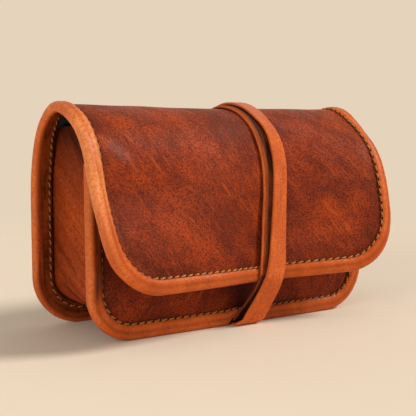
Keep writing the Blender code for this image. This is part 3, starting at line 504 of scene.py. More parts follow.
def add_piece(
    name: str, points: Array, faces: list, cut: Array, finish: Material, wear_and_shading: Array | None = None
) -> Object:
    """Make one piece, smooth but for its sharp edges, with its faces pointing out.

    Args:
        name: Name of the piece.
        points: Places of its vertices, one a row.
        faces: Indices of each face's vertices.
        cut: Place of each vertex on the flat cut piece, in metres, for the patterns.
        finish: Its material.
        wear_and_shading: Marks and painted light per vertex, -1 dark to 1 pale; on a thread, its shade 0 to
            1.

    Returns:
        The new object.
    """
    mesh = bpy.data.meshes.new(name)
    mesh.from_pydata(points.reshape(-1, 3), [], faces)
    work = bmesh.new()
    work.from_mesh(mesh)
    bmesh.ops.recalc_face_normals(work, faces=work.faces)
    work.to_mesh(mesh)
    work.free()
    cut = np.ascontiguousarray(cut.reshape(-1, 3), dtype=np.float32)
    mesh.attributes.new("cut", "FLOAT_VECTOR", "POINT").data.foreach_set("vector", cut.ravel())
    # real marks with painted light and shade, read by the materials
    worn = np.zeros(len(cut), np.float32) if wear_and_shading is None else wear_and_shading.reshape(-1).astype(np.float32)
    mesh.attributes.new("wear_and_shading", "FLOAT", "POINT").data.foreach_set("value", worn)
    corners = np.zeros(len(mesh.loops), np.int32)
    mesh.loops.foreach_get("vertex_index", corners)
    mesh.uv_layers.new(name="flat").data.foreach_set("uv", cut[corners, :2].ravel())
    mesh.shade_smooth()
    mesh.set_sharp_from_angle(angle=50.0 * DEGREE)
    mesh.materials.append(finish)
    piece = bpy.data.objects.new(name, mesh)
    bpy.context.scene.collection.objects.link(piece)
    return piece


def sheet_faces(rows: int, columns: int) -> list:
    """Faces of a closed sheet: an outer grid, an inner grid after it, and the rim between them."""
    index = np.arange(rows * columns).reshape(rows, columns)
    top = np.stack([index[:-1, :-1], index[:-1, 1:], index[1:, 1:], index[1:, :-1]], axis=-1).reshape(-1, 4)
    base = top[:, ::-1] + rows * columns
    rim = np.concatenate([index[0, :], index[1:, -1], index[-1, -2::-1], index[-2:0:-1, 0]])
    after = np.roll(rim, -1)
    wall = np.stack([rim, rim + rows * columns, after + rows * columns, after], axis=-1)
    return np.concatenate([top, base, wall]).tolist()


def add_sheet(
    name: str, faces: Sequence[Array], cuts: Sequence[Array], finish: Material, wear_and_shading: Array | None = None
) -> Object:
    """Make one closed sheet from the grids of its outer and its inner face.

    Args:
        name: Name of the piece.
        faces: Points of both faces.
        cuts: Place of each point on the flat cut piece, for both faces.
        finish: Its material.
        wear_and_shading: Marks and painted light of each point, the same on both faces.

    Returns:
        The new object.
    """
    worn = None if wear_and_shading is None else np.stack([wear_and_shading, wear_and_shading])
    return add_piece(name, np.stack(faces), sheet_faces(*faces[0].shape[:2]), np.stack(cuts), finish, worn)


def tube_faces(tubes: int, stations: int, sides: int) -> list:
    """Faces of like tubes, each closed by a cap at both ends."""
    index = np.arange(tubes * stations * sides).reshape(tubes, stations, sides)
    around = np.roll(index, -1, axis=2)
    walls = np.stack([index[:, :-1], around[:, :-1], around[:, 1:], index[:, 1:]], axis=-1).reshape(-1, 4)
    caps = np.concatenate([index[:, 0], index[:, -1, ::-1]])
    return walls.tolist() + caps.tolist()


def sheet_grid(outline: Outline, inset: float | Array, rises: Array, columns: int) -> tuple[Array, Array]:
    """Grid of (x, rise) over a sheet: each row is as wide as the U is at its rise.

    Args:
        outline: The sheet's edge.
        inset: How far inside the edge the grid ends, for the whole grid or for each row.
        rises: Rise of each row.
        columns: How many columns the grid has.

    Returns:
        The x and the rise of every point.
    """
    half, radius = outline.width / 2 - inset, np.maximum(outline.radius - inset, 0.0)
    low = np.clip(radius - (rises - inset), 0.0, radius)
    reach = half - radius + np.sqrt(np.maximum(0.0, radius**2 - low**2))
    share = np.linspace(-1.0, 1.0, columns)
    return reach[:, None] * share[None, :], np.repeat(rises[:, None], columns, axis=1)


def corner_rises(inset: float, radius: float, top: float, step: float) -> Array:
    """Rises from a sheet's foot to its top: at equal angles round the corners, then evenly."""
    angle = np.linspace(0.0, math.pi / 2, 12)
    bend = inset + (radius - inset) * (1.0 - np.cos(angle))
    count = max(2, math.ceil((top - radius) / step) + 1)
    return np.concatenate([bend, np.linspace(radius, top, count)[1:]])


def binding_section(rounding: int = 11) -> Array:
    """Section of the rolled binding as a closed line of (inset, height) pairs.

    The outer leg is padded, a shallow groove parts it from the roll, the roll is a half circle about the
    middle of the binding, the inner leg is flat, and the line comes back along the slot that holds the sheet.
    """
    radius, middle = ROLL / 2, (LEG_TOP + LEG_BASE) / 2
    turn = np.linspace(90.0, 270.0, rounding) * DEGREE
    roll = np.stack([radius + radius * np.cos(turn), middle + radius * np.sin(turn)], axis=1)
    padded = np.array([(0.15, 0.3), (-0.1, 0.5), (-0.6, 0.78)]) * MM + (OUTER_LEG, SLOT_OUT)
    ridge = np.array([(5.4, -0.05), (4.8, 0.02), (4.2, -0.03)]) * MM + (0.0, LEG_TOP)
    groove = np.array([(3.6, -0.14), (3.1, -0.12)]) * MM + (0.0, LEG_TOP)
    flat = np.array([(4.4, 0.0), (6.4, 0.0), (8.4, 0.05)]) * MM + (0.0, LEG_BASE)
    end = np.array([(-0.4, 0.1), (0.0, 0.4)]) * MM + (INNER_LEG, LEG_BASE)
    slot = np.array([
        (INNER_LEG, SLOT_IN), (5.0 * MM, SLOT_IN), (BINDING_LEATHER, SLOT_IN), (BINDING_LEATHER, SLOT_OUT),
        (4.0 * MM, SLOT_OUT),
    ])
    return np.concatenate([[(OUTER_LEG, SLOT_OUT)], padded, ridge, groove, roll, flat, end, slot])


def leg_trim(edge: Edge, rise: Array) -> Array:
    """How much the inner leg is trimmed back: a little all along, and more from the fold on."""
    return TRIM + TOP_TRIM * ease((run_of(edge.place, rise) - TRIM_START) / TRIM_REACH)


def left_leg(edge: Edge, x: Array, rise: Array) -> Array:
    """1 on the front panel's left edge, where the flap's end hangs over it, and 0 elsewhere."""
    return (edge.place is front_point) * (x < 0.0) * grown(rise, LEG_SHADE)


def tightness(edge: Edge, x: Array, rise: Array) -> Array:
    """1 where the stitches are pulled in under the binding's leg: at the left, from the fold on."""
    on_shell = edge.place is not front_point
    return on_shell * grown(-x, TIGHT_ACROSS) * grown(run_of(edge.place, rise), TIGHT_RUN)


@dataclass(frozen=True)
class RolledEdge:
    """A binding rolled over an edge, with small swells and wrinkles, and painted highlights and shade.

    A place on its section is an inset from the edge, and a pair of numbers is a mark's middle and reach. The
    rim, the ridge and the flap's left side get painted highlights. The groove, the inner side, the wrinkles
    and the front panel's left leg get painted shade, and the binding is darker from its foot up to the low
    rise.

    Attributes:
        edge: The edge that it holds.
        phase: Start of the small waves, so that no two bindings are alike.
        station: Distance between two sections.
        under_reach: Over how much inset the inner side's painted shade grows.
        side_fade: Over how much rise the side's painted highlight fades below the front seam.
        leg_span: Where on the section the left leg's shade starts, and over how much it grows.
    """

    edge: Edge
    phase: float
    station: float = 0.95 * MM
    swell: float = 0.10 * MM
    swells: tuple[float, ...] = (31 * MM, 13 * MM, 5.3 * MM)
    wrinkle: float = 0.15 * MM
    wrinkles: tuple[float, ...] = (7.3 * MM, 4.4 * MM, 2.7 * MM)
    wrinkled: Span = (5.6 * MM, 1.9 * MM)
    rim: Span = (1.0 * MM, 1.4 * MM)
    rim_highlight: float = 0.3
    ridge: Span = (5.2 * MM, 0.9 * MM)
    ridge_highlight: float = 0.24
    groove: Span = (3.3 * MM, 0.6 * MM)
    groove_shade: float = 0.20
    under_shade: float = 0.9
    under_reach: float = 2.6 * MM
    low: float = 24.0 * MM
    low_darkening: float = 0.36
    side_highlight: float = 0.42
    side_fade: float = 14.0 * MM
    leg_shade: float = 1.0
    leg_span: Span = (2.4 * MM, 1.8 * MM)
    wrinkle_shade: float = 0.12

    def build(self, name: str, finish: Material) -> Object:
        """Carry the binding's section along the edge."""
        edge, section = self.edge, binding_section()
        length = edge.length(0.0)
        distance = np.linspace(0.0, length, math.ceil(length / self.station) + 1)[:, None]
        stations = edge.stations(distance, 0.0)
        inset, height = section[None, :, 0], section[None, :, 1]
        seated = np.isclose(height, SLOT_OUT) | np.isclose(height, SLOT_IN)
        swell = self.swell * ripple(distance, self.swells, self.phase)
        pull = self.swell * np.cos(2 * math.pi * distance / STITCH) * (inset > OUTER_LEG - MM) * (height > 0)
        swollen = swell * np.sign(height - (LEG_TOP + LEG_BASE) / 2) - np.abs(pull) * 0.5 + pull
        creases = ripple(distance, self.wrinkles, self.phase + 0.5)
        creases = creases * bell(inset, *self.wrinkled) * (height < SLOT_IN - MM / 2)
        height = height + np.where(seated, 0.0, swollen) - self.wrinkle * creases
        inset = inset - leg_trim(edge, stations[1]) * ((height < SLOT_IN / 2) & (inset > ROLL))
        points = inside(edge.place, stations, inset, height)
        cut = stacked(distance, walked(section)[None, :], self.phase * 0.1)
        # the wrinkles get painted shade in their creases
        wear_and_shading = self.wear_and_shading(distance, stations, section) - self.wrinkle_shade * creases
        return add_piece(name, points, tube_faces(1, *points.shape[:2]), cut, finish, wear_and_shading)

    def wear_and_shading(self, distance: Array, stations: Stations, section: Array) -> Array:
        """Add up the painted highlights and shade and the darkening at the foot.

        Args:
            distance: Distance of each section along the edge.
            stations: The edge's stations there.
            section: The binding's section.

        Returns:
            Painted highlights and shade, and the darkening at the foot, of every point.
        """
        x, rise = stations[:2]
        inset, face = section[:, 0], (section[:, 1] > 0.0) * 1.0
        # painted shade on the inner side, growing inwards from the rim
        under = ease((inset - self.rim[0] / 2) / self.under_reach) * (section[:, 1] < SLOT_IN)
        # painted highlight on the ridge, painted shade in the groove
        marked = self.ridge_highlight * bell(inset, *self.ridge) * face
        marked = marked - self.groove_shade * bell(inset, *self.groove) * face
        # darker towards the foot, unevenly along the edge
        uneven = 0.7 + 0.3 * ripple(distance, (29 * MM, 11 * MM), self.phase)
        low = ease((self.low - rise) / self.low) * uneven
        # painted highlight on the flap's left side, between the low rise and the front seam
        painted_highlight = ease((rise - self.low) / self.low) * ease((SHELL_RUN - FRONT_SEAM - rise) / self.side_fade)
        marked = marked + self.side_highlight * (self.edge.place is flap_point) * (x < 0.0) * painted_highlight
        # painted shade on the front panel's left leg, under the flap's end
        marked = marked - self.leg_shade * left_leg(self.edge, x, rise) * grown(inset, self.leg_span) * face
        # painted highlight on the rim
        rim = self.rim_highlight * bell(inset, *self.rim)
        return (rim + marked - self.low_darkening * low) * (1.0 - under) - self.under_shade * under


@dataclass(frozen=True)
class Sheet:
    """A sheet of leather or cloth between two heights over its surface, pulled in a little at its stitches.

    A pair of numbers is a mark's middle and reach, or where it starts or ends and over how much. The pucker
    lies beside the seam at the flap's lower left corner, with painted shade in it. A painted reflection lies
    on the flap and a painted sheen over the top. The front panel gets painted shade from the thong and under
    the flap's left end, and the sheet is darker beside the seam.

    Attributes:
        outline: Edge of the sheet, with the surface that it lies on.
        inset: How far inside the edge the sheet ends.
        rises: Rise of each row.
        faces_at: Height of the outer and of the inner face.
        columns: How many columns it has.
        tucked: Depth of the groove along the stitches, 0 for none.
    """

    outline: Outline
    inset: float | Array
    rises: Array
    faces_at: Span = (LEATHER / 2, -LEATHER / 2)
    columns: int = 121
    tucked: float = 0.3 * MM
    tuck_reach: float = 1.6 * MM
    swell: float = 0.14 * MM
    pucker: float = 0.35 * MM
    pucker_span: Span = (3.6 * MM, 1.1 * MM)
    pucker_across: Span = (40.0 * MM, 16.0 * MM)
    pucker_rise: Span = (48.0 * MM, 18.0 * MM)
    reflection_patch: Span = (-66.5 * MM, 146.0 * MM)
    patch_size: Span = (8.0 * MM, 3.4 * MM)
    patch_turn: float = 0.7
    reflection_strength: float = 0.5
    top_sheen: Span = (121.0 * MM, 9.0 * MM)
    top_sheen_strength: float = 0.20
    thong_shade: Span = (1.0 * MM, 7.0 * MM)
    end_shade: Span = (-64.0 * MM, 15.0 * MM)
    end_rise: Span = (16.0 * MM, 18.0 * MM)
    seam_darkening: float = 0.35
    seam_reach: float = 7.0 * MM

    def build(self, name: str, finish: Material) -> Object:
        """Make the sheet: its outer and its inner face, with a rim between them."""
        place = self.outline.place
        x, rise = sheet_grid(self.outline, self.inset, self.rises, self.columns)
        run = run_of(place, rise)
        away = self.outline.inset_of(x, rise) - SEAM_INSET
        pucker = bell(away, *self.pucker_span) * (place is flap_point) * grown(-x, self.pucker_across)
        pucker = pucker * ease((self.pucker_rise[0] - rise) / self.pucker_rise[1])
        swell = self.swell * ripple(x * 0.8 + run * 0.6, (47 * MM, 23 * MM), 1.1) if self.tucked else 0.0
        top, base = self.faces_at
        sunk = self.tucked * bell(away, 0.0, self.tuck_reach) + self.pucker * pucker
        faces = [place(x, rise, top - sunk + swell), place(x, rise, base)]
        cuts = [stacked(x, run, height) for height in (top, base)]
        # the pucker's crease also gets painted shade
        return add_sheet(name, faces, cuts, finish, self.wear_and_shading(x, rise, away) - 0.5 * pucker)

    def wear_and_shading(self, x: Array, rise: Array, away: Array) -> Array:
        """Paint a reflection on the flap, sheen over the top and shade on the front; darken beside the seam.

        Args:
            x: Place across.
            rise: Rise of each point.
            away: Distance from the seam inwards.

        Returns:
            The painted light and shade, and the darkening by the seam, of every point.
        """
        place = self.outline.place
        run = run_of(place, rise)
        # painted reflection: a pale turned spot on the flap
        across, along = x - self.reflection_patch[0], run - self.reflection_patch[1]
        cos, sin = math.cos(self.patch_turn), math.sin(self.patch_turn)
        length, breadth = self.patch_size
        reflection_patch = bell(across * cos + along * sin, 0.0, length) * bell(along * cos - across * sin, 0.0, breadth)
        # painted sheen over the top
        top_sheen = bell(run, *self.top_sheen) * (0.7 + 0.3 * ripple(x, (61 * MM, 23 * MM), 0.4))
        # painted shade on the front panel: the thong's shadow and the shade under the flap's left end
        shade = 0.7 * bell(x, *self.thong_shade) + 0.6 * bell(x, *self.end_shade) * grown(rise, self.end_rise)
        wear_and_shading = self.reflection_strength * reflection_patch * (place is flap_point) - shade * (place is front_point)
        wear_and_shading = wear_and_shading + self.top_sheen_strength * top_sheen * (place is not front_point)
        # darker beside the seam
        return wear_and_shading - self.seam_darkening * np.exp(-np.maximum(0.0, away) / self.seam_reach)


def lining_sheet(outline: Outline, inset: float | Array, rises: Array) -> Sheet:
    """A lining behind its leather: smooth, and with half as many columns."""
    return Sheet(outline, inset, rises, (FLANGE_TOP, FLANGE_BASE), columns=61, tucked=0.0)


@dataclass(frozen=True)
class Seam:
    """A row of stitches: short twisted strands that dive into dark holes.

    Attributes:
        inset: How far inside the edge the row lies.
        height: Height of the sheet's face under the thread.
        facing: 1 on an outer face, -1 on an inner one.
        thread_shade: Painted shade on the thread, from 0 to 1.
        gauge: Thickness of the thread, as a share of its full one.
        reach: Half a strand's length, as a share of the distance between holes.
        fullness: Width of a strand's middle, as a share of the thread's.
        arch: How far a strand's middle stands over its ends, which start clear of the face and then dive.
        slant: How far the ends lie across the row.
        pulled: Where the row is tight, how far a strand is pulled to the edge, and down.
    """

    inset: float
    height: float
    facing: int = 1
    thread_shade: float = 0.0
    gauge: float = 1.0
    reach: float = 0.40
    fullness: float = 1.3
    arch: float = 0.46 * MM
    clear: float = 0.14 * MM
    dive: float = 0.5 * MM
    slant: float = 0.32 * MM
    pulled: Span = (0.45 * MM, 0.2 * MM)
    hole: float = 1.1 * MM

    def sew(
        self, name: str, edge: Edge, finishes: "Finishes", home: Fold | str, nodes: Sequence[str],
        under: Slot = Slot.LEATHER,
    ) -> None:
        """Sew one row along an edge, and hang its thread and its holes on their home.

        Args:
            name: Name of the row.
            edge: The edge that it follows.
            finishes: Every material of the pouch.
            home: The fold that it lies across, or the body that it rides on.
            nodes: The solids that its thread replaces.
            under: Finish of the leather that the holes are in; not used.
        """
        length = edge.length(self.inset)
        marks = np.linspace(0.0, length, max(1, round(length / STITCH)) + 1)
        settle(self.strands(name, edge, finishes.thread, marks), home, nodes)
        settle(self.holes(f"{name}_holes", edge, finishes.hole, marks), home, [])

    def row(self, edge: Edge, distance: Array) -> tuple[Stations, Array | float]:
        """Stations of the row and its inset there, which follows the trim of the back's inner leg."""
        stations = edge.stations(np.clip(distance, 0.0, edge.length(self.inset)), self.inset)
        trimmed = self.facing < 0 and edge.place is shell_point
        return stations, self.inset - (leg_trim(edge, stations[1]) if trimmed else 0.0)

    def strands(self, name: str, edge: Edge, thread: Material, marks: Array) -> Object:
        """Arch each strand from hole to hole, its radius twisting round it as two plies.

        Args:
            name: Name of the row.
            edge: The edge that it follows.
            thread: Material of the thread.
            marks: Distances of the holes along the edge.

        Returns:
            The strands, as one piece.
        """
        count, steps, sides = len(marks) - 1, 9, 8
        signed = np.linspace(-1.0, 1.0, steps)[None, :, None]
        share = np.abs(signed)
        distance = (marks[:-1, None, None] + marks[1:, None, None]) / 2 + self.reach * signed * marks[1]
        stations, inset = self.row(edge, distance)
        x, rise = stations[:2]
        angle = np.linspace(0.0, 2 * math.pi, sides, endpoint=False)[None, None, :]
        shaded = left_leg(edge, x, rise)
        tight = np.maximum(tightness(edge, x, rise), shaded)
        plies = 1.0 + 0.17 * np.cos(2.0 * angle + 2.4 * math.pi * signed)
        thinner = (1.0 - 0.35 * share**3) * (1.0 - 0.4 * tight)
        radius = self.fullness * self.gauge * THREAD / 2 * plies * thinner
        arch = self.arch * (1.0 - share**2.6) + self.clear - self.dive * ease((share - 0.72) / 0.28)
        out, down = self.pulled
        inset = inset + radius * np.cos(angle) + self.slant * signed - out * tight
        height = self.height + self.facing * (arch + radius * np.sin(angle) - down * tight)
        points = inside(edge.place, stations, inset, height)
        cut = stacked(distance, angle * MM, 0.0)
        # painted shade on the strands: towards their ends, on the shaded rows and on the front's left leg
        wear_and_shading = np.maximum(np.maximum(share, self.thread_shade), shaded) * np.ones((count, steps, sides))
        return add_piece(name, points, tube_faces(count, steps, sides), cut, thread, wear_and_shading)

    def holes(self, name: str, edge: Edge, hole: Material, marks: Array) -> Object:
        """Make a shallow dark cup at each mark: a ring of points on the face and a closed foot below it."""
        rings, sides = 4, 8
        angle = np.linspace(0.0, 2 * math.pi, sides, endpoint=False)[None, None, :]
        radius = (np.array([0.75, 0.62, 0.3, 0.3]) * self.hole)[None, :, None]
        level = (np.array([-0.12, 0.07, 0.02, -0.3]) * MM)[None, :, None]
        distance = marks[:, None, None] + 0.8 * radius * np.cos(angle)
        stations, inset = self.row(edge, distance)
        x, rise = stations[:2]
        small = tightness(edge, x, rise) * ease((34.0 * MM - rise) / (10.0 * MM)) * (edge.place is flap_point)
        inset = inset + radius * np.sin(angle) * (1.0 - 0.6 * small)
        points = inside(edge.place, stations, inset, self.height + self.facing * level)
        cut = stacked(distance, angle * MM, 0.0)
        # the cups are nearly black: painted shade inside the holes
        return add_piece(name, points, tube_faces(len(marks), rings, sides), cut, hole)


class Graph:
    """Lays nodes in a node tree and joins them."""

    def __init__(self, tree: NodeTree) -> None:
        """Work in this tree."""
        self.tree = tree

    def fill(self, node: Node, inputs: dict) -> None:
        """Set or link a node's inputs: each value is a source socket or a plain value, three for a colour."""
        for key, value in inputs.items():
            socket = node.inputs[key]
            if isinstance(value, NodeSocket):
                self.tree.links.new(value, socket)
            else:
                socket.default_value = (*value, 1.0) if socket.type == "RGBA" else value

    def add(self, kind: str, inputs: dict | None = None, **settings: object) -> Node:
        """Add a node, set its options, and set or link its inputs.

        Args:
            kind: Blender's type of the node.
            inputs: Value or source socket of each input, by name or by number.
            **settings: Options of the node.

        Returns:
            The node.
        """
        node = self.tree.nodes.new(kind)
        for option, value in settings.items():
            setattr(node, option, value)
        self.fill(node, inputs or {})
        return node

    def attribute(self, name: str, output: str) -> object:
        """One of a mesh's attributes: the place on the cut piece as a vector, or the wear as a number."""
        return self.add("ShaderNodeAttribute", attribute_name=name).outputs[output]

    def maths(self, operation: str, *values: object) -> object:
        """Result of a Math node."""
        return self.add("ShaderNodeMath", dict(enumerate(values)), operation=operation).outputs[0]

    def ramp(self, value: object, low: float, high: float) -> object:
        """Rise smoothly from 0 to 1 as a value goes from low to high."""
        inputs = {"Value": value, "From Min": low, "From Max": high}
        return self.add("ShaderNodeMapRange", inputs, interpolation_type="SMOOTHSTEP").outputs["Result"]

    def mix(self, factor: object, first: object, second: object) -> object:
        """Blend two colours, given as sockets or as three numbers."""
        return self.add("ShaderNodeMix", {0: factor, 6: first, 7: second}, data_type="RGBA").outputs[2]

    def noise(self, place: object, scale: object, detail: float = 3.0, rough: float = 0.55) -> object:
        """Value of a noise texture at a place."""
        inputs = {"Vector": place, "Scale": scale, "Detail": detail, "Roughness": rough}
        return self.add("ShaderNodeTexNoise", inputs).outputs["Fac"]

    def drawn(self, place: object, turn: float, length: float) -> object:
        """Place for a pattern drawn out along a line: Y turned anticlockwise by so many degrees."""
        inputs = {"Vector": place, "Rotation": (0.0, 0.0, turn * DEGREE), "Scale": (1.0, length, 1.0)}
        return self.add("ShaderNodeMapping", inputs, vector_type="TEXTURE").outputs["Vector"]
    def bump(self, height: object, depth: float, strength: float) -> object:
        """Normal of a relief that is so deep, in metres."""
        inputs = {"Height": height, "Distance": depth, "Strength": strength}
        return self.add("ShaderNodeBump", inputs).outputs["Normal"]

    def seen(self) -> object:
        """1 for the rays that show the backdrop: from the camera, in mirrors and through clear material."""
        rays = self.add("ShaderNodeLightPath").outputs
        seen = self.maths("MAXIMUM", rays["Is Camera Ray"], rays["Is Glossy Ray"])
        return self.maths("MAXIMUM", seen, rays["Is Transmission Ray"])

    def shade(self, inputs: dict) -> Node:
        """Set or link the inputs of the material's own shader, and return it."""
        shader = self.tree.nodes["Principled BSDF"]
        self.fill(shader, inputs)
        return shader


def new_material(name: str) -> tuple[Material, Graph]:
    """Start a material, and return it with its graph."""
    material = bpy.data.materials.new(name)
    material.use_nodes = True
    return material, Graph(material.node_tree)


def new_group(name: str, inputs: dict[str, str], outputs: dict[str, str]) -> tuple[Graph, object, object]:
    """Start a shader node group with named sockets.

    Args:
        name: Name of the group.
        inputs: Type of each input socket, by name.
        outputs: Type of each output socket, by name.

    Returns:
        Its graph, its input node and its output node.
    """
    group = bpy.data.node_groups.new(name, "ShaderNodeTree")
    for direction, sockets in (("INPUT", inputs), ("OUTPUT", outputs)):
        for label, kind in sockets.items():
            group.interface.new_socket(label, in_out=direction, socket_type=kind)
    graph = Graph(group)
    return graph, graph.add("NodeGroupInput"), graph.add("NodeGroupOutput")


FLOAT, VECTOR = "NodeSocketFloat", "NodeSocketVector"


def crackle_group() -> NodeTree:
    """Fine waxed grain: creases drawn out along two slants and crossed, as a mask of their tops and a height.

    Where Fill is above a half, the tops spread over the valleys; below it, the valleys spread.
    """
    graph, start, end = new_group(
        "waxed_crackle", {"Place": VECTOR, "Scale": FLOAT, "Fill": FLOAT}, {"Tops": FLOAT, "Height": FLOAT}
    )
    place, scale = start.outputs["Place"], start.outputs["Scale"]
    first = graph.noise(graph.drawn(place, -38.0, 2.3), scale, 2.0, 0.6)
    second = graph.noise(graph.drawn(place, 40.0, 1.7), graph.maths("MULTIPLY", scale, 1.2), 2.0, 0.6)
    cells = graph.add("ShaderNodeTexVoronoi", {"Vector": place, "Scale": graph.maths("MULTIPLY", scale, 1.1)})
    crossed = graph.maths("MULTIPLY_ADD", first, 0.55, graph.maths("MULTIPLY", second, 0.30))
    total = graph.maths("MULTIPLY_ADD", cells.outputs["Distance"], -0.14, crossed)
    filled = graph.maths("MULTIPLY_ADD", start.outputs["Fill"], 0.05, total)
    graph.fill(end, {"Tops": graph.ramp(filled, 0.29, 0.44), "Height": graph.ramp(filled, 0.28, 0.46)})
    return graph.tree


def mottle_group() -> NodeTree:
    """Uneven dye: a mask of broad clouds and one of small blotches."""
    graph, start, end = new_group("uneven_dye", {"Place": VECTOR}, {"Clouds": FLOAT, "Blotches": FLOAT})
    place = start.outputs["Place"]
    clouds = graph.ramp(graph.noise(graph.drawn(place, -38.0, 1.6), 52.0, 3.0, 0.6), 0.34, 0.66)
    blotches = graph.ramp(graph.noise(place, 130.0, 4.0, 0.65), 0.46, 0.68)
    graph.fill(end, {"Clouds": clouds, "Blotches": blotches})
    return graph.tree


@dataclass(frozen=True)
class LeatherFinish:
    """Waxed leather: dark valleys and bright grain tops, with uneven dye, drawn streaks and a soft gloss.

    The piece's marks and painted light run from -1 to 1: below zero it is darkened and polished, by
    real stains and by painted shade; above zero it is lightened, by pale edges and by painted highlights
    and reflections.

    Attributes:
        scale: Grain cells to the metre.
        relief: Height of the grain, in millimetres.
        contrast: How strongly the grain shows.
        slant: Slant of the streaks in degrees, anticlockwise from the run of the piece.
        fineness: Streaks to the metre.
        gloss: Roughness of the surface.
        polish: How much smoother the darkened places are.
        sheen: Specular level.
        nap: Weight of the soft sheen of a raised nap.
    """

    name: str
    dark: Colour
    body: Colour
    bright: Colour
    # colours of pale marks and painted highlights, then of stains and painted shade
    pale_and_highlight: Colour
    darkening: Colour
    streak: Colour
    scale: float = 900.0
    relief: float = 0.10
    contrast: float = 0.6
    unevenness: float = 0.4
    streaks: float = 0.3
    slant: float = -32.0
    fineness: float = 620.0
    gloss: float = 0.5
    polish: float = 0.0
    sheen: float = 0.15
    nap: float = 0.0

    def build(self, crackle: NodeTree, mottle: NodeTree) -> Material:
        """Make the material.

        Args:
            crackle: The grain's node group.
            mottle: The uneven dye's node group.

        Returns:
            The material.
        """
        finish, graph = new_material(self.name)
        place, wear_and_shading = graph.attribute("cut", "Vector"), graph.attribute("wear_and_shading", "Fac")
        dye = graph.add("ShaderNodeGroup", {"Place": place}, node_tree=mottle)
        unfilled = graph.maths("SUBTRACT", 1.0, dye.outputs["Clouds"])
        inputs = {"Place": place, "Scale": self.scale, "Fill": unfilled}
        grain = graph.add("ShaderNodeGroup", inputs, node_tree=crackle)
        lines = graph.noise(graph.drawn(place, self.slant, 9.0), self.fineness, 3.0, 0.6)
        lit = self.colour(graph, place, grain.outputs["Tops"], dye, lines)
        # pale marks and painted highlights above zero, stains and painted shade below it
        pale = graph.maths("MULTIPLY_ADD", grain.outputs["Tops"], 0.45, 0.55)
        pale = graph.maths("MULTIPLY", graph.maths("MAXIMUM", wear_and_shading, 0.0), pale)
        uneven = graph.maths("MULTIPLY_ADD", graph.ramp(lines, 0.35, 0.65), -0.28, -0.72)
        darkened = graph.maths("MAXIMUM", graph.maths("MULTIPLY", wear_and_shading, uneven), 0.0)
        lit = graph.mix(graph.maths("MULTIPLY", pale, 0.8), lit, self.pale_and_highlight)
        rough = graph.maths("MULTIPLY_ADD", dye.outputs["Blotches"], 0.10, self.gloss - 0.05)
        graph.shade({
            "Base Color": graph.mix(darkened, lit, self.darkening),
            "Roughness": graph.maths("MULTIPLY_ADD", darkened, -self.polish, rough),
            "Normal": graph.bump(grain.outputs["Height"], self.relief * MM, 0.8),
            "Specular IOR Level": self.sheen,
            "Sheen Weight": self.nap,
        })
        return finish

    def colour(self, graph: Graph, place: object, tops: object, dye: Node, lines: object) -> object:
        """Colour before wear: valleys and tops, darker in the dye's clouds and blotches, then the streaks."""
        valley = graph.mix(self.contrast, self.body, self.dark)
        top = graph.mix(self.contrast, self.body, self.bright)
        lit = graph.mix(tops, valley, top)
        uneven = graph.maths("MULTIPLY", dye.outputs["Clouds"], self.unevenness)
        lit = graph.mix(uneven, lit, valley)
        lit = graph.mix(graph.maths("MULTIPLY", dye.outputs["Blotches"], 0.5 * self.unevenness), lit, valley)
        patches = graph.ramp(graph.noise(place, 45.0, 2.0), 0.38, 0.58)
        drawn = graph.maths("MULTIPLY", graph.ramp(lines, 0.54, 0.68), self.streaks)
        return graph.mix(graph.maths("MULTIPLY", drawn, patches), lit, self.streak)


@dataclass(frozen=True)
class ThreadFinish:
    """Waxed twisted thread: golden, with painted shade where it dives into its holes and in shaded rows."""

    name: str = "golden_thread"
    colour: Colour = (0.80, 0.30, 0.055)
    dark: Colour = (0.20, 0.052, 0.010)

    def build(self) -> Material:
        """Make the material: twist lines are a wave round and along the strand."""
        finish, graph = new_material(self.name)
        lines = graph.noise(graph.drawn(graph.attribute("cut", "Vector"), 0.0, 4.0), 3000.0, 2.0)
        base = graph.mix(graph.ramp(lines, 0.35, 0.7), self.dark, self.colour)
        # painted shade towards the holes and in shaded rows; the dark colour also colours the twist lines
        ends = graph.maths("POWER", graph.attribute("wear_and_shading", "Fac"), 3.0)
        graph.shade({
            "Base Color": graph.mix(graph.maths("MULTIPLY", ends, 0.85), base, self.dark),
            "Normal": graph.bump(lines, 0.08 * MM, 0.7),
            "Roughness": 0.55,
            "Specular IOR Level": 0.18,
        })
        return finish


@dataclass(frozen=True)
class ClothFinish:
    """Coated cloth: dark, with a fine plain weave under its coat."""

    name: str = "rubbered_lining"
    colour: Colour = (0.010, 0.022, 0.016)
    light: Colour = (0.022, 0.040, 0.030)

    def build(self) -> Material:
        """Make the material: two crossing waves make the weave."""
        finish, graph = new_material(self.name)
        place = graph.attribute("cut", "Vector")
        inputs = {"Vector": place, "Scale": 500.0, "Distortion": 0.4}
        warp, weft = (
            graph.add("ShaderNodeTexWave", inputs, bands_direction=way).outputs["Fac"] for way in ("X", "Y")
        )
        weave = graph.maths("MAXIMUM", warp, weft)
        tone = graph.maths("MULTIPLY", weave, graph.noise(place, 60.0, 4.0))
        colour, normal = graph.mix(tone, self.colour, self.light), graph.bump(weave, 0.05 * MM, 0.5)
        graph.shade({"Base Color": colour, "Normal": normal, "Roughness": 0.6})
        return finish


@dataclass(frozen=True)
class HoleFinish:
    """The inside of a needle hole: painted shade, nearly black."""

    name: str = "needle_hole_shade"
    colour: Colour = (0.012, 0.005, 0.003)
    edge: Colour = (0.05, 0.018, 0.008)

    def build(self) -> Material:
        """Make the material, a little lighter in spots."""
        finish, graph = new_material(self.name)
        spots = graph.noise(graph.attribute("cut", "Vector"), 900.0, 2.0)
        graph.shade({"Base Color": graph.mix(spots, self.colour, self.edge), "Roughness": 0.9})
        return finish


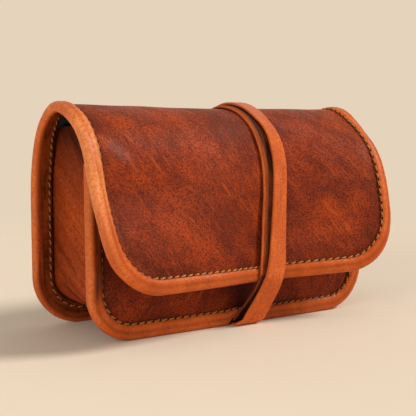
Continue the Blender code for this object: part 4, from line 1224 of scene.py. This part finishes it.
MAHOGANY = LeatherFinish(
    "mahogany_leather", dark=(0.050, 0.008, 0.005), body=(0.225, 0.025, 0.005), bright=(0.44, 0.056, 0.006),
    pale_and_highlight=(0.26, 0.16, 0.145), darkening=(0.030, 0.005, 0.004), streak=(0.50, 0.080, 0.010), scale=2300.0,
    contrast=0.76, unevenness=0.55, streaks=0.5, fineness=850.0, gloss=0.46, sheen=0.07,
)
TAN = LeatherFinish(
    "tan_leather", dark=(0.25, 0.033, 0.007), body=(0.55, 0.094, 0.012), bright=(0.70, 0.158, 0.027),
    pale_and_highlight=(0.90, 0.37, 0.13), darkening=(0.050, 0.007, 0.002), streak=(0.26, 0.036, 0.010), relief=0.05,
    contrast=0.28, unevenness=0.9, streaks=0.25, slant=90.0, fineness=480.0, gloss=0.42, sheen=0.13,
)
GUSSET_SKIN = LeatherFinish(
    "gusset_leather", dark=(0.14, 0.018, 0.004), body=(0.36, 0.050, 0.008), bright=(0.52, 0.090, 0.013),
    pale_and_highlight=(0.5, 0.2, 0.1), darkening=(0.020, 0.004, 0.002), streak=(0.07, 0.010, 0.003), scale=1100.0,
    relief=0.06, contrast=0.45, unevenness=0.5, streaks=0.9, slant=-38.0, fineness=130.0, sheen=0.08,
)
SUEDE = LeatherFinish(
    "suede_thong", dark=(0.30, 0.050, 0.010), body=(0.62, 0.110, 0.015), bright=(0.78, 0.18, 0.030),
    pale_and_highlight=(0.60, 0.25, 0.17), darkening=(0.022, 0.003, 0.001), streak=(0.33, 0.050, 0.020), scale=1800.0,
    relief=0.08, contrast=0.5, unevenness=0.55, streaks=0.5, slant=90.0, fineness=420.0, gloss=0.8,
    polish=0.15, sheen=0.12, nap=0.02,
)


@dataclass(frozen=True)
class Finishes:
    """Every material of the pouch."""

    leather: Material
    binding: Material
    gusset: Material
    lining: Material
    thread: Material
    hole: Material
    thong: Material

    @classmethod
    def make(cls) -> "Finishes":
        """Build the shared node groups once, and each material with its own values."""
        crackle, mottle = crackle_group(), mottle_group()
        return cls(
            leather=MAHOGANY.build(crackle, mottle),
            binding=TAN.build(crackle, mottle),
            gusset=GUSSET_SKIN.build(crackle, mottle),
            lining=ClothFinish().build(),
            thread=ThreadFinish().build(),
            hole=HoleFinish().build(),
            thong=SUEDE.build(crackle, mottle),
        )


OUTER_SEAM = Seam(SEAM_INSET, LEATHER / 2, gauge=0.92)
# the front panel's row and the inner row get painted shade
PANEL_SEAM = Seam(SEAM_INSET, LEATHER / 2, thread_shade=0.8, gauge=0.82)
INNER_SEAM = Seam(INNER_LEG - 2 * THREAD, LEG_BASE, -1, thread_shade=0.93, gauge=0.8)


@dataclass(frozen=True)
class Shell:
    """The long piece of leather with its lining, binding and thread, in three stretches that bend at folds.

    The back's pieces also stand for the solids between the rear fold and the rear seam.
    """

    finishes: Finishes
    row: float = 1.6 * MM

    def stretch(self, label: str, outline: Outline, home: Fold, nodes: Sequence[str], rises: Array) -> None:
        """Make the leather and the lining of one stretch.

        Args:
            label: First word of the pieces' names.
            outline: Edge of the stretch.
            home: The fold that it lies across.
            nodes: First words of the solids' names.
            rises: Rises of its rows.
        """
        piece = Sheet(outline, EDGE_INSET, rises).build(f"{label}_leather", self.finishes.leather)
        settle(piece, home, [f"{node}_panel" for node in nodes])
        inset = EDGE_INSET
        if outline is BACK_EDGE:
            steps = GUSSET_BACK_TOP + CREST_MARGIN * np.array([0.5, 1.5])
            rises = np.sort(np.append(np.maximum(rises, CLOTH_INSET), steps))
            inset = np.where(rises > GUSSET_BACK_TOP + CREST_MARGIN, EDGE_INSET, CLOTH_INSET)
        piece = lining_sheet(outline, inset, rises).build(f"{label}_cloth", self.finishes.lining)
        settle(piece, home, [f"{node}_lining" for node in nodes])

    def edge(self, label: str, edge: Edge, home: Fold, nodes: dict[str, str], phase: float) -> None:
        """Make the binding along one edge and its stitches, for these solids: bindings with their threads."""
        piece = RolledEdge(edge, phase).build(f"{label}_rolled_edge", self.finishes.binding)
        settle(piece, home, list(nodes))
        OUTER_SEAM.sew(f"{label}_stitches", edge, self.finishes, home, list(nodes.values()))

    def build(self) -> None:
        """Make back, top and flap."""
        rises = corner_rises(EDGE_INSET, SHELL_RADIUS, REAR_SEAM, self.row)
        self.stretch("back", BACK_EDGE, REAR, ["back", "flap_rear"], rises)
        nodes = {f"flap_rear_binding_{side}": f"flap_rear_stitching_{side}" for side in ("left", "right")}
        self.edge("back", BACK_EDGE, REAR, {"back_binding": "back_outer_stitching", **nodes}, 0.7)
        inner = ["back_inner_stitching"]
        INNER_SEAM.sew("back_inner_stitches", BACK_EDGE, self.finishes, REAR, inner, Slot.BINDING)
        self.top()
        rises = corner_rises(EDGE_INSET, FLAP_RADIUS, SHELL_RUN - FRONT_SEAM, self.row)
        self.stretch("flap", FLAP_EDGE, FRONT, ["flap_front"], rises)
        self.edge("flap", FLAP_EDGE, FRONT, {"flap_front_binding": "flap_front_stitching"}, 2.9)

    def top(self) -> None:
        """Make the stretch between the rear and the front seam, with one binding at each side."""
        outline = Outline(shell_point, SHELL_WIDTH, 0.01 * MM, FRONT_SEAM)
        count = round((FRONT_SEAM - REAR_SEAM) / self.row) + 1
        self.stretch("top", outline, MIDDLE, ["flap_mid"], np.linspace(REAR_SEAM, FRONT_SEAM, count))
        for side in Side:
            label, start = side.name.lower(), (side.value * SHELL_WIDTH / 2, REAR_SEAM)
            edge = Straight(shell_point, start, (0.0, 1.0), (side.value, 0.0), FRONT_SEAM - REAR_SEAM)
            nodes = {f"flap_mid_binding_{label}": f"flap_mid_stitching_{label}"}
            self.edge(f"top_{label}", edge, MIDDLE, nodes, 1.3 * side.value)


@dataclass(frozen=True)
class FrontPanel:
    """The front panel with its lining, its binding, its thread and the binding of its mouth."""

    finishes: Finishes
    row: float = 1.8 * MM

    def build(self) -> None:
        """Make every piece of the front."""
        rises = corner_rises(EDGE_INSET, FRONT_RADIUS, FRONT_HEIGHT, self.row)
        piece = Sheet(FRONT_EDGE, EDGE_INSET, rises).build("front_leather", self.finishes.leather)
        settle(piece, "pouch_body", ["front_panel"])
        low = np.unique(np.clip(rises, CLOTH_INSET, FRONT_HEIGHT - MOUTH_LEG - 2 * GAP))
        piece = lining_sheet(FRONT_EDGE, CLOTH_INSET, low).build("front_cloth", self.finishes.lining)
        settle(piece, "pouch_body", ["front_lining"])
        piece = RolledEdge(FRONT_EDGE, 4.1).build("front_rolled_edge", self.finishes.binding)
        settle(piece, "pouch_body", ["front_binding"])
        PANEL_SEAM.sew("front_stitches", FRONT_EDGE, self.finishes, "pouch_body", ["front_stitching"])
        self.mouth()

    def mouth(self) -> None:
        """Carry the mouth binding's section along X over the panel's top edge, and sew it."""
        half = FRONT_WIDTH / 2 - GUSSET_INSET - GUSSET_LEATHER / 2 - GAP
        top, foot = FRONT_HEIGHT + GAP, FRONT_HEIGHT - MOUTH_LEG
        outer, skin = LEATHER / 2 + GAP, BINDING_LEATHER
        turn = np.linspace(0.0, math.pi, 9)
        roll = np.stack([top + skin * np.sin(turn), (outer + skin) * np.cos(turn)], axis=1)
        inner = np.array([(foot, -outer - skin), (foot, -outer), (top - GAP, -outer)])
        ends = np.array([(foot, outer + skin), (foot, outer)])
        section = np.concatenate([ends[:1], roll, inner, inner[:0:-1] * (1.0, -1.0), ends[1:]])
        x = np.linspace(-half, half, 121)[:, None]
        points = front_point(x, section[None, :, 0], section[None, :, 1])
        cut = stacked(x, walked(section)[None, :], 0.3)
        faces = tube_faces(1, *points.shape[:2])
        piece = add_piece("mouth_rolled_edge", points, faces, cut, self.finishes.binding)
        settle(piece, "pouch_body", ["mouth_binding"])
        reach = 2 * half - 2 * STITCH
        start = (-reach / 2, foot - GAP - THREAD / 2)
        edge = Straight(front_point, start, (1.0, 0.0), (0.0, 1.0), reach)
        Seam(0.0, LEATHER / 2).sew("mouth_stitches", edge, self.finishes, "pouch_body", ["mouth_stitching"])


@dataclass(frozen=True)
class Gusset:
    """The strip that joins back and front down one side, under the bottom and up the other, and its lining.

    Laid flat, the wall has its width, and a flange starts a turn beyond it and ends a flange beyond it. The
    mouth rises to a crest. The wall bows in, its creases are skewed down from back to front, and the fine
    ones in its corners up. Painted shade darkens it towards back and front and towards its top. The lining
    ends a little before back and front.
    """

    finishes: Finishes
    side_rows: int = 44
    corner_rows: int = 14
    base_rows: int = 61
    width: float = 44.0 * MM
    turn: float = 1.0 * MM
    flange: float = 12.0 * MM
    crest: float = 6.0 * MM
    bow: float = 0.6 * MM
    crease: float = 1.1 * MM
    crease_skew: float = 30.0 * MM
    crumple: float = 0.85 * MM
    crumple_skew: float = 24.0 * MM
    corner: float = 0.22
    shade: float = 0.9
    lining_end: float = 1.4 * MM

    def rails(self) -> tuple[Stations, Stations, Array]:
        """Matching stations on the back's and the front's edge, and the share of the side's height."""
        counts = (self.side_rows, self.corner_rows, self.base_rows, self.corner_rows, self.side_rows)
        rails = []
        for outline in (
            Outline(shell_point, SHELL_WIDTH, SHELL_RADIUS, GUSSET_BACK_TOP),
            Outline(front_point, FRONT_WIDTH, FRONT_RADIUS, FRONT_HEIGHT - EDGE_INSET),
        ):
            arm, corner = outline.top - outline.radius, math.pi / 2 * outline.radius
            marks = np.cumsum([0.0, arm, corner, outline.width - 2 * outline.radius, corner, arm])
            spans = zip(marks, marks[1:], counts)
            steps = [np.linspace(start, end, count)[:-1] for start, end, count in spans]
            rails.append(outline.stations(np.concatenate([*steps, marks[-1:]]), 0.0))
        share = np.linspace(1.0, 0.0, self.side_rows)[:-1]
        rest = np.zeros(2 * self.corner_rows + self.base_rows - 2)
        return rails[0], rails[1], np.concatenate([share, rest, share[::-1]])

    def wall(self, inset: float, parts: Array) -> tuple[Array, Array]:
        """Wall at an inset: straight from rail to rail, then bowed in, creased and raised to its crest.

        Args:
            inset: How far inside the sheets' edges the wall lies.
            parts: Shares of the way from the back to the front.

        Returns:
            The points, and each row's distance down the strip.
        """
        back, front, share = self.rails()
        middle = (FLANGE_TOP + FLANGE_BASE) / 2
        start, end = inside(shell_point, back, inset, middle), inside(front_point, front, inset, middle)
        down = walked(start)
        points = start[:, None, :] + (end - start)[:, None, :] * parts[None, :, None]
        share, parts, along = share[:, None], parts[None, :], down[:, None]
        across = np.sin(math.pi * parts)
        points[:, :, 2] += self.crest * share**2 * across
        crease = ripple(along - self.crease_skew * parts, (37 * MM, 17 * MM, 9.5 * MM), 0.6) * self.crease
        crumple = ripple(along + self.crumple_skew * parts, (8 * MM, 4.6 * MM), 2.2) * self.crumple
        crumple = crumple * bell(share, 0.0, self.corner) * (share > 0)
        inward = (self.bow * ease(share * 3.0) + crease + crumple) * across
        points[:, :, 0] -= inward * back[2][:, None]
        points[:, :, 2] -= inward * back[3][:, None]
        return points, down

    def build(self) -> None:
        """Make the strip with its two flanges, and its lining."""
        back, front, share = self.rails()
        half = GUSSET_LEATHER / 2
        parts = np.linspace(0.0, 1.0, 25)[1:-1]
        beyond = np.array([self.turn, self.flange])
        across = np.concatenate([-beyond[::-1], parts * self.width, self.width + beyond])
        middle = np.sin(math.pi * np.clip(across / self.width, 0.0, 1.0)) ** 0.5
        # painted shade: darker towards back and front, where the wall meets them, and towards the top
        wear_and_shading = -np.maximum((1.0 - middle)[None, :], self.shade * ease((share - 0.40) / 0.55)[:, None])
        faces, cuts = [], []
        for inset, height in ((GUSSET_INSET - half, FLANGE_BASE), (GUSSET_INSET + half, FLANGE_TOP)):
            near, far = (
                [inside(place, rail, depth, height)[:, None] for depth in (EDGE_INSET, inset)]
                for place, rail in ((shell_point, back), (front_point, front))
            )
            wall, down = self.wall(inset, parts)
            faces.append(np.concatenate([*near, wall, *far[::-1]], axis=1))
            cuts.append(stacked(down[:, None], across[None, :], height))
        piece = add_sheet("gusset_strip", faces, cuts, self.finishes.gusset, wear_and_shading)
        settle(piece, "pouch_body", ["gusset"])
        margin = self.lining_end / BACK_DEPTH
        parts = np.linspace(margin, 1.0 - margin, 21)
        face = GUSSET_INSET + half + GAP
        (near, down), (far, _) = (self.wall(inset, parts) for inset in (face, face + LINING))
        cut = stacked(down[:, None], parts[None, :] * self.width, 0.0)
        piece = add_sheet("gusset_cloth", [near, far], [cut, cut], self.finishes.lining)
        settle(piece, "pouch_body", ["gusset_lining"])


@dataclass(frozen=True)
class SlipPocket:
    """The leaf of leather on the inside of the back, sewn along its sides and its foot."""

    finishes: Finishes
    columns: int = 79
    rows: int = 45

    def build(self) -> None:
        """Make the leaf, which stands off the back inside its hem, and its thread."""
        half, foot = POCKET_WIDTH / 2, FLANGE_BASE - GAP
        rows = np.linspace(POCKET_BASE, POCKET_TOP, self.rows)
        x, rise = np.meshgrid(np.linspace(-half, half, self.columns), rows)
        within = np.minimum(half - np.abs(x), rise - POCKET_BASE) - POCKET_HEM
        space = POCKET_SPACE * ease(within / POCKET_BEND)
        faces = [shell_point(x, rise, level - space) for level in (foot, foot - POCKET_LEATHER)]
        cut = stacked(x + 0.2, rise, 0.0)
        piece = add_sheet("slip_pocket_leaf", faces, [cut, cut], self.finishes.binding)
        settle(piece, "pouch_body", ["slip_pocket"])
        edge = Outline(pocket_point, POCKET_WIDTH, POCKET_HEM, POCKET_TOP - POCKET_BASE)
        seam, nodes = Seam(POCKET_HEM / 2, foot - POCKET_LEATHER, -1), ["pocket_stitching"]
        seam.sew("slip_pocket_stitches", edge, self.finishes, "pouch_body", nodes, Slot.BINDING)


@dataclass(frozen=True)
class Thong:
    """The thong, wound twice round the closed pouch.

    Angles are degrees along the winding, and a pair of them is where a change starts and over how much it
    grows. The outer turn is padded down to the inner one, leans over in front and is upright at the foot. The
    inner turn is darker, with painted shade beside and under the outer turn and below the flap. The outer
    turn's painted highlight on top is given by its middle and reach.
    """

    finishes: Finishes
    thickness: float = 1.2 * MM
    step: float = 1.2 * MM
    padding: float = 0.25 * MM
    padded: Span = (380.0, 40.0)
    lean: float = 8.0 * DEGREE
    leaning: Span = (485.0, 30.0)
    upright: Span = (575.0, 25.0)
    darkening: float = 0.70
    outer: Span = (400.0, 60.0)
    hidden_shade: Span = (168.0, 10.0)
    painted_highlight: Span = (470.0, 32.0)

    def build(self) -> None:
        """Carry a flat section with rounded edges along the route, through every station."""
        route = np.array(THONG_ROUTE) * (MM, MM, MM, DEGREE, MM)
        distance = walked(route[:, :3])
        steps = [
            np.linspace(start, end, max(2, math.ceil((end - start) / self.step) + 1))[:-1]
            for start, end in zip(distance, distance[1:])
        ]
        marks = np.concatenate([*steps, distance[-1:]])
        smooth = hermite(marks, distance, route)
        middle, angle, width = smooth[:, None, :3], smooth[:, 3:4], smooth[:, 4]
        turned = angle / DEGREE
        side = np.array([(0.25, 1.0), (0.40, 1.0), (0.475, 0.95), (0.497, 0.7), (0.505, 0.0)])
        base = np.array([(-0.5, -0.75), (-0.485, -1.0), (-0.25, -1.0)])
        mirror = (-1.0, 1.0)
        middles = [(0.0, -1.0)], [(0.0, 1.0), (-0.17, 1.0)]
        halves = [base, middles[0], base[::-1] * mirror, side[::-1], middles[1], side * mirror]
        profile = np.concatenate(halves)
        across, high = profile[:, 0], (profile[:, 1] * self.thickness / 2)[None, :]
        ragged = 1.0 + 0.012 * ripple(marks, (9 * MM, 4.1 * MM, 23 * MM), 0.9)
        wide = across[None, :] * (width * ragged)[:, None]
        tilt = self.lean * grown(turned, self.leaning) * ease((self.upright[0] - turned) / self.upright[1])
        deeper = self.padding * grown(turned, self.padded)
        out = (high - deeper * (high < 0.0)) * np.cos(tilt) - wide * np.sin(tilt)
        places = middle + stacked(0.0 * out, np.cos(angle) * out, np.sin(angle) * out)
        places[:, :, 0] += wide * np.cos(tilt) + high * np.sin(tilt)
        cut = stacked(marks[:, None], (across * 0.010)[None, :], high * 3)
        faces, wear_and_shading = tube_faces(1, *places.shape[:2]), self.wear_and_shading(turned, across[None, :], high)
        piece = add_piece("wound_thong", places, faces, cut, self.finishes.thong, wear_and_shading)
        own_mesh(piece)
        settle(piece, "wrap_strap", ["wrap_strap"])

    def wear_and_shading(self, turned: Array, across: Array, high: Array) -> Array:
        """Darken the inner turn and paint shade by and under the outer one, and a highlight on its top.

        Args:
            turned: Angle of each section along the winding, in degrees.
            across: Each point's share of the width.
            high: Its height over the section's middle.

        Returns:
            The marks and painted light and shade of every point.
        """
        inner = ease((self.outer[0] - turned) / self.outer[1])
        # painted shade on the inner turn below the flap's edge
        hidden_shade = grown(turned, self.hidden_shade) * inner
        # the inner turn is darker, with painted shadow beside and under the outer turn
        face = self.darkening * inner * (across > -0.45) + inner * ease((across + 0.25) / 0.08) + hidden_shade
        # painted shadow on the lower walls; the upper walls are pale cut edges, with painted shade below the
        # flap
        wall = np.where(high < 0.0, -1.0, 0.15 - 0.3 * inner - 0.8 * hidden_shade)
        # painted highlight on the outer turn's top
        painted_highlight = 0.8 * bell(turned, *self.painted_highlight)
        return np.where(high > self.thickness / 3, painted_highlight - np.minimum(face, 1.0), wall)


@dataclass(frozen=True)
class Studio:
    """Pale floor and backdrop, soft lamps and the camera at the photograph's angle."""

    floor: Colour = (0.79, 0.665, 0.52)
    sky: Colour = (0.79, 0.65, 0.50)
    size: float = 12.0

    def build(self) -> None:
        """Make the floor, the lamps, the world and the camera."""
        self.make_floor()
        self.make_world()
        key = bpy.data.lights.new("key", "SUN")
        key.energy, key.angle, key.color = 2.5, 18.0 * DEGREE, (1.0, 0.97, 0.93)
        self.hang("key", key, (0.0, 0.0, 0.0), self.aim((0.80, -0.52, 0.85)))
        fill = bpy.data.lights.new("fill", "AREA")
        fill.size, fill.energy, fill.color = 0.6, 8.0, (1.0, 0.96, 0.92)
        self.hang("fill", fill, (-1.2, -0.6, 0.5), self.aim((-1.2, -0.6, 0.45)))
        lens = bpy.data.cameras.new("camera")
        lens.lens, lens.sensor_width, lens.clip_start = 78.22, 36.0, 0.01
        rotation = ((90.0 - 5.69) * DEGREE, 0.0, -34.0 * DEGREE)
        bpy.context.scene.camera = self.hang("camera", lens, (-0.2442, -0.3527, 0.0961), rotation)
        bpy.context.scene.view_settings.view_transform = "Standard"

    def aim(self, away: Triple) -> Triple:
        """Rotation of a lamp that shines back along the way that leads to it."""
        x, y, z = away
        return math.atan2(math.hypot(x, y), z), 0.0, math.atan2(x, -y)

    def hang(self, name: str, data: ID | None, place: Triple, rotation: Triple) -> Object:
        """Put a new object in the scene."""
        thing = bpy.data.objects.new(name, data)
        thing.location, thing.rotation_euler = place, rotation
        bpy.context.scene.collection.objects.link(thing)
        return thing

    def make_floor(self) -> None:
        """A wide floor whose own colour shows near the pouch, and the backdrop's farther away."""
        size = self.size
        corners = np.array([(-size, -size, 0.0), (size, -size, 0.0), (size, size, 0.0), (-size, size, 0.0)])
        mesh = bpy.data.meshes.new("floor")
        mesh.from_pydata(corners, [], [(0, 1, 2, 3)])
        finish, graph = new_material("floor")
        place = graph.add("ShaderNodeTexCoord").outputs["Object"]
        darker = tuple(value * 0.96 for value in self.floor)
        tone = graph.mix(graph.noise(place, 9.0), darker, self.floor)
        shader = graph.shade({"Base Color": tone, "Roughness": 0.8})
        away = graph.add("ShaderNodeVectorMath", {0: place}, operation="LENGTH").outputs["Value"]
        far = graph.maths("MULTIPLY", graph.seen(), graph.ramp(away, 0.30, 0.62))
        plain = graph.add("ShaderNodeEmission", {"Color": self.sky})
        mixed = graph.add("ShaderNodeMixShader", {0: far, 1: shader.outputs[0], 2: plain.outputs[0]})
        graph.fill(graph.tree.nodes["Material Output"], {"Surface": mixed.outputs[0]})
        mesh.materials.append(finish)
        self.hang("floor", mesh, (0.0, 0.0, 0.0), (0.0, 0.0, 0.0))

    def make_world(self) -> None:
        """Soft white light for the object, and the backdrop's own colour for the rays that show it."""
        world = bpy.data.worlds.new("studio")
        world.use_nodes = True
        bpy.context.scene.world = world
        graph = Graph(world.node_tree)
        world.node_tree.nodes.clear()
        shown = graph.add("ShaderNodeBackground", {"Color": self.sky, "Strength": 1.0})
        light = graph.add("ShaderNodeBackground", {"Color": (1.0, 0.97, 0.93), "Strength": 0.42})
        mixed = graph.add("ShaderNodeMixShader", {0: graph.seen(), 1: light.outputs[0], 2: shown.outputs[0]})
        graph.add("ShaderNodeOutputWorld", {"Surface": mixed.outputs[0]})


def main() -> None:
    """Dress the pouch and set up the studio."""
    logging.basicConfig(level=logging.INFO, format="%(message)s")
    finishes = Finishes.make()
    Studio().build()
    Thong(finishes).build()
    Shell(finishes).build()
    FrontPanel(finishes).build()
    Gusset(finishes).build()
    SlipPocket(finishes).build()


if __name__ == "__main__":
    main()
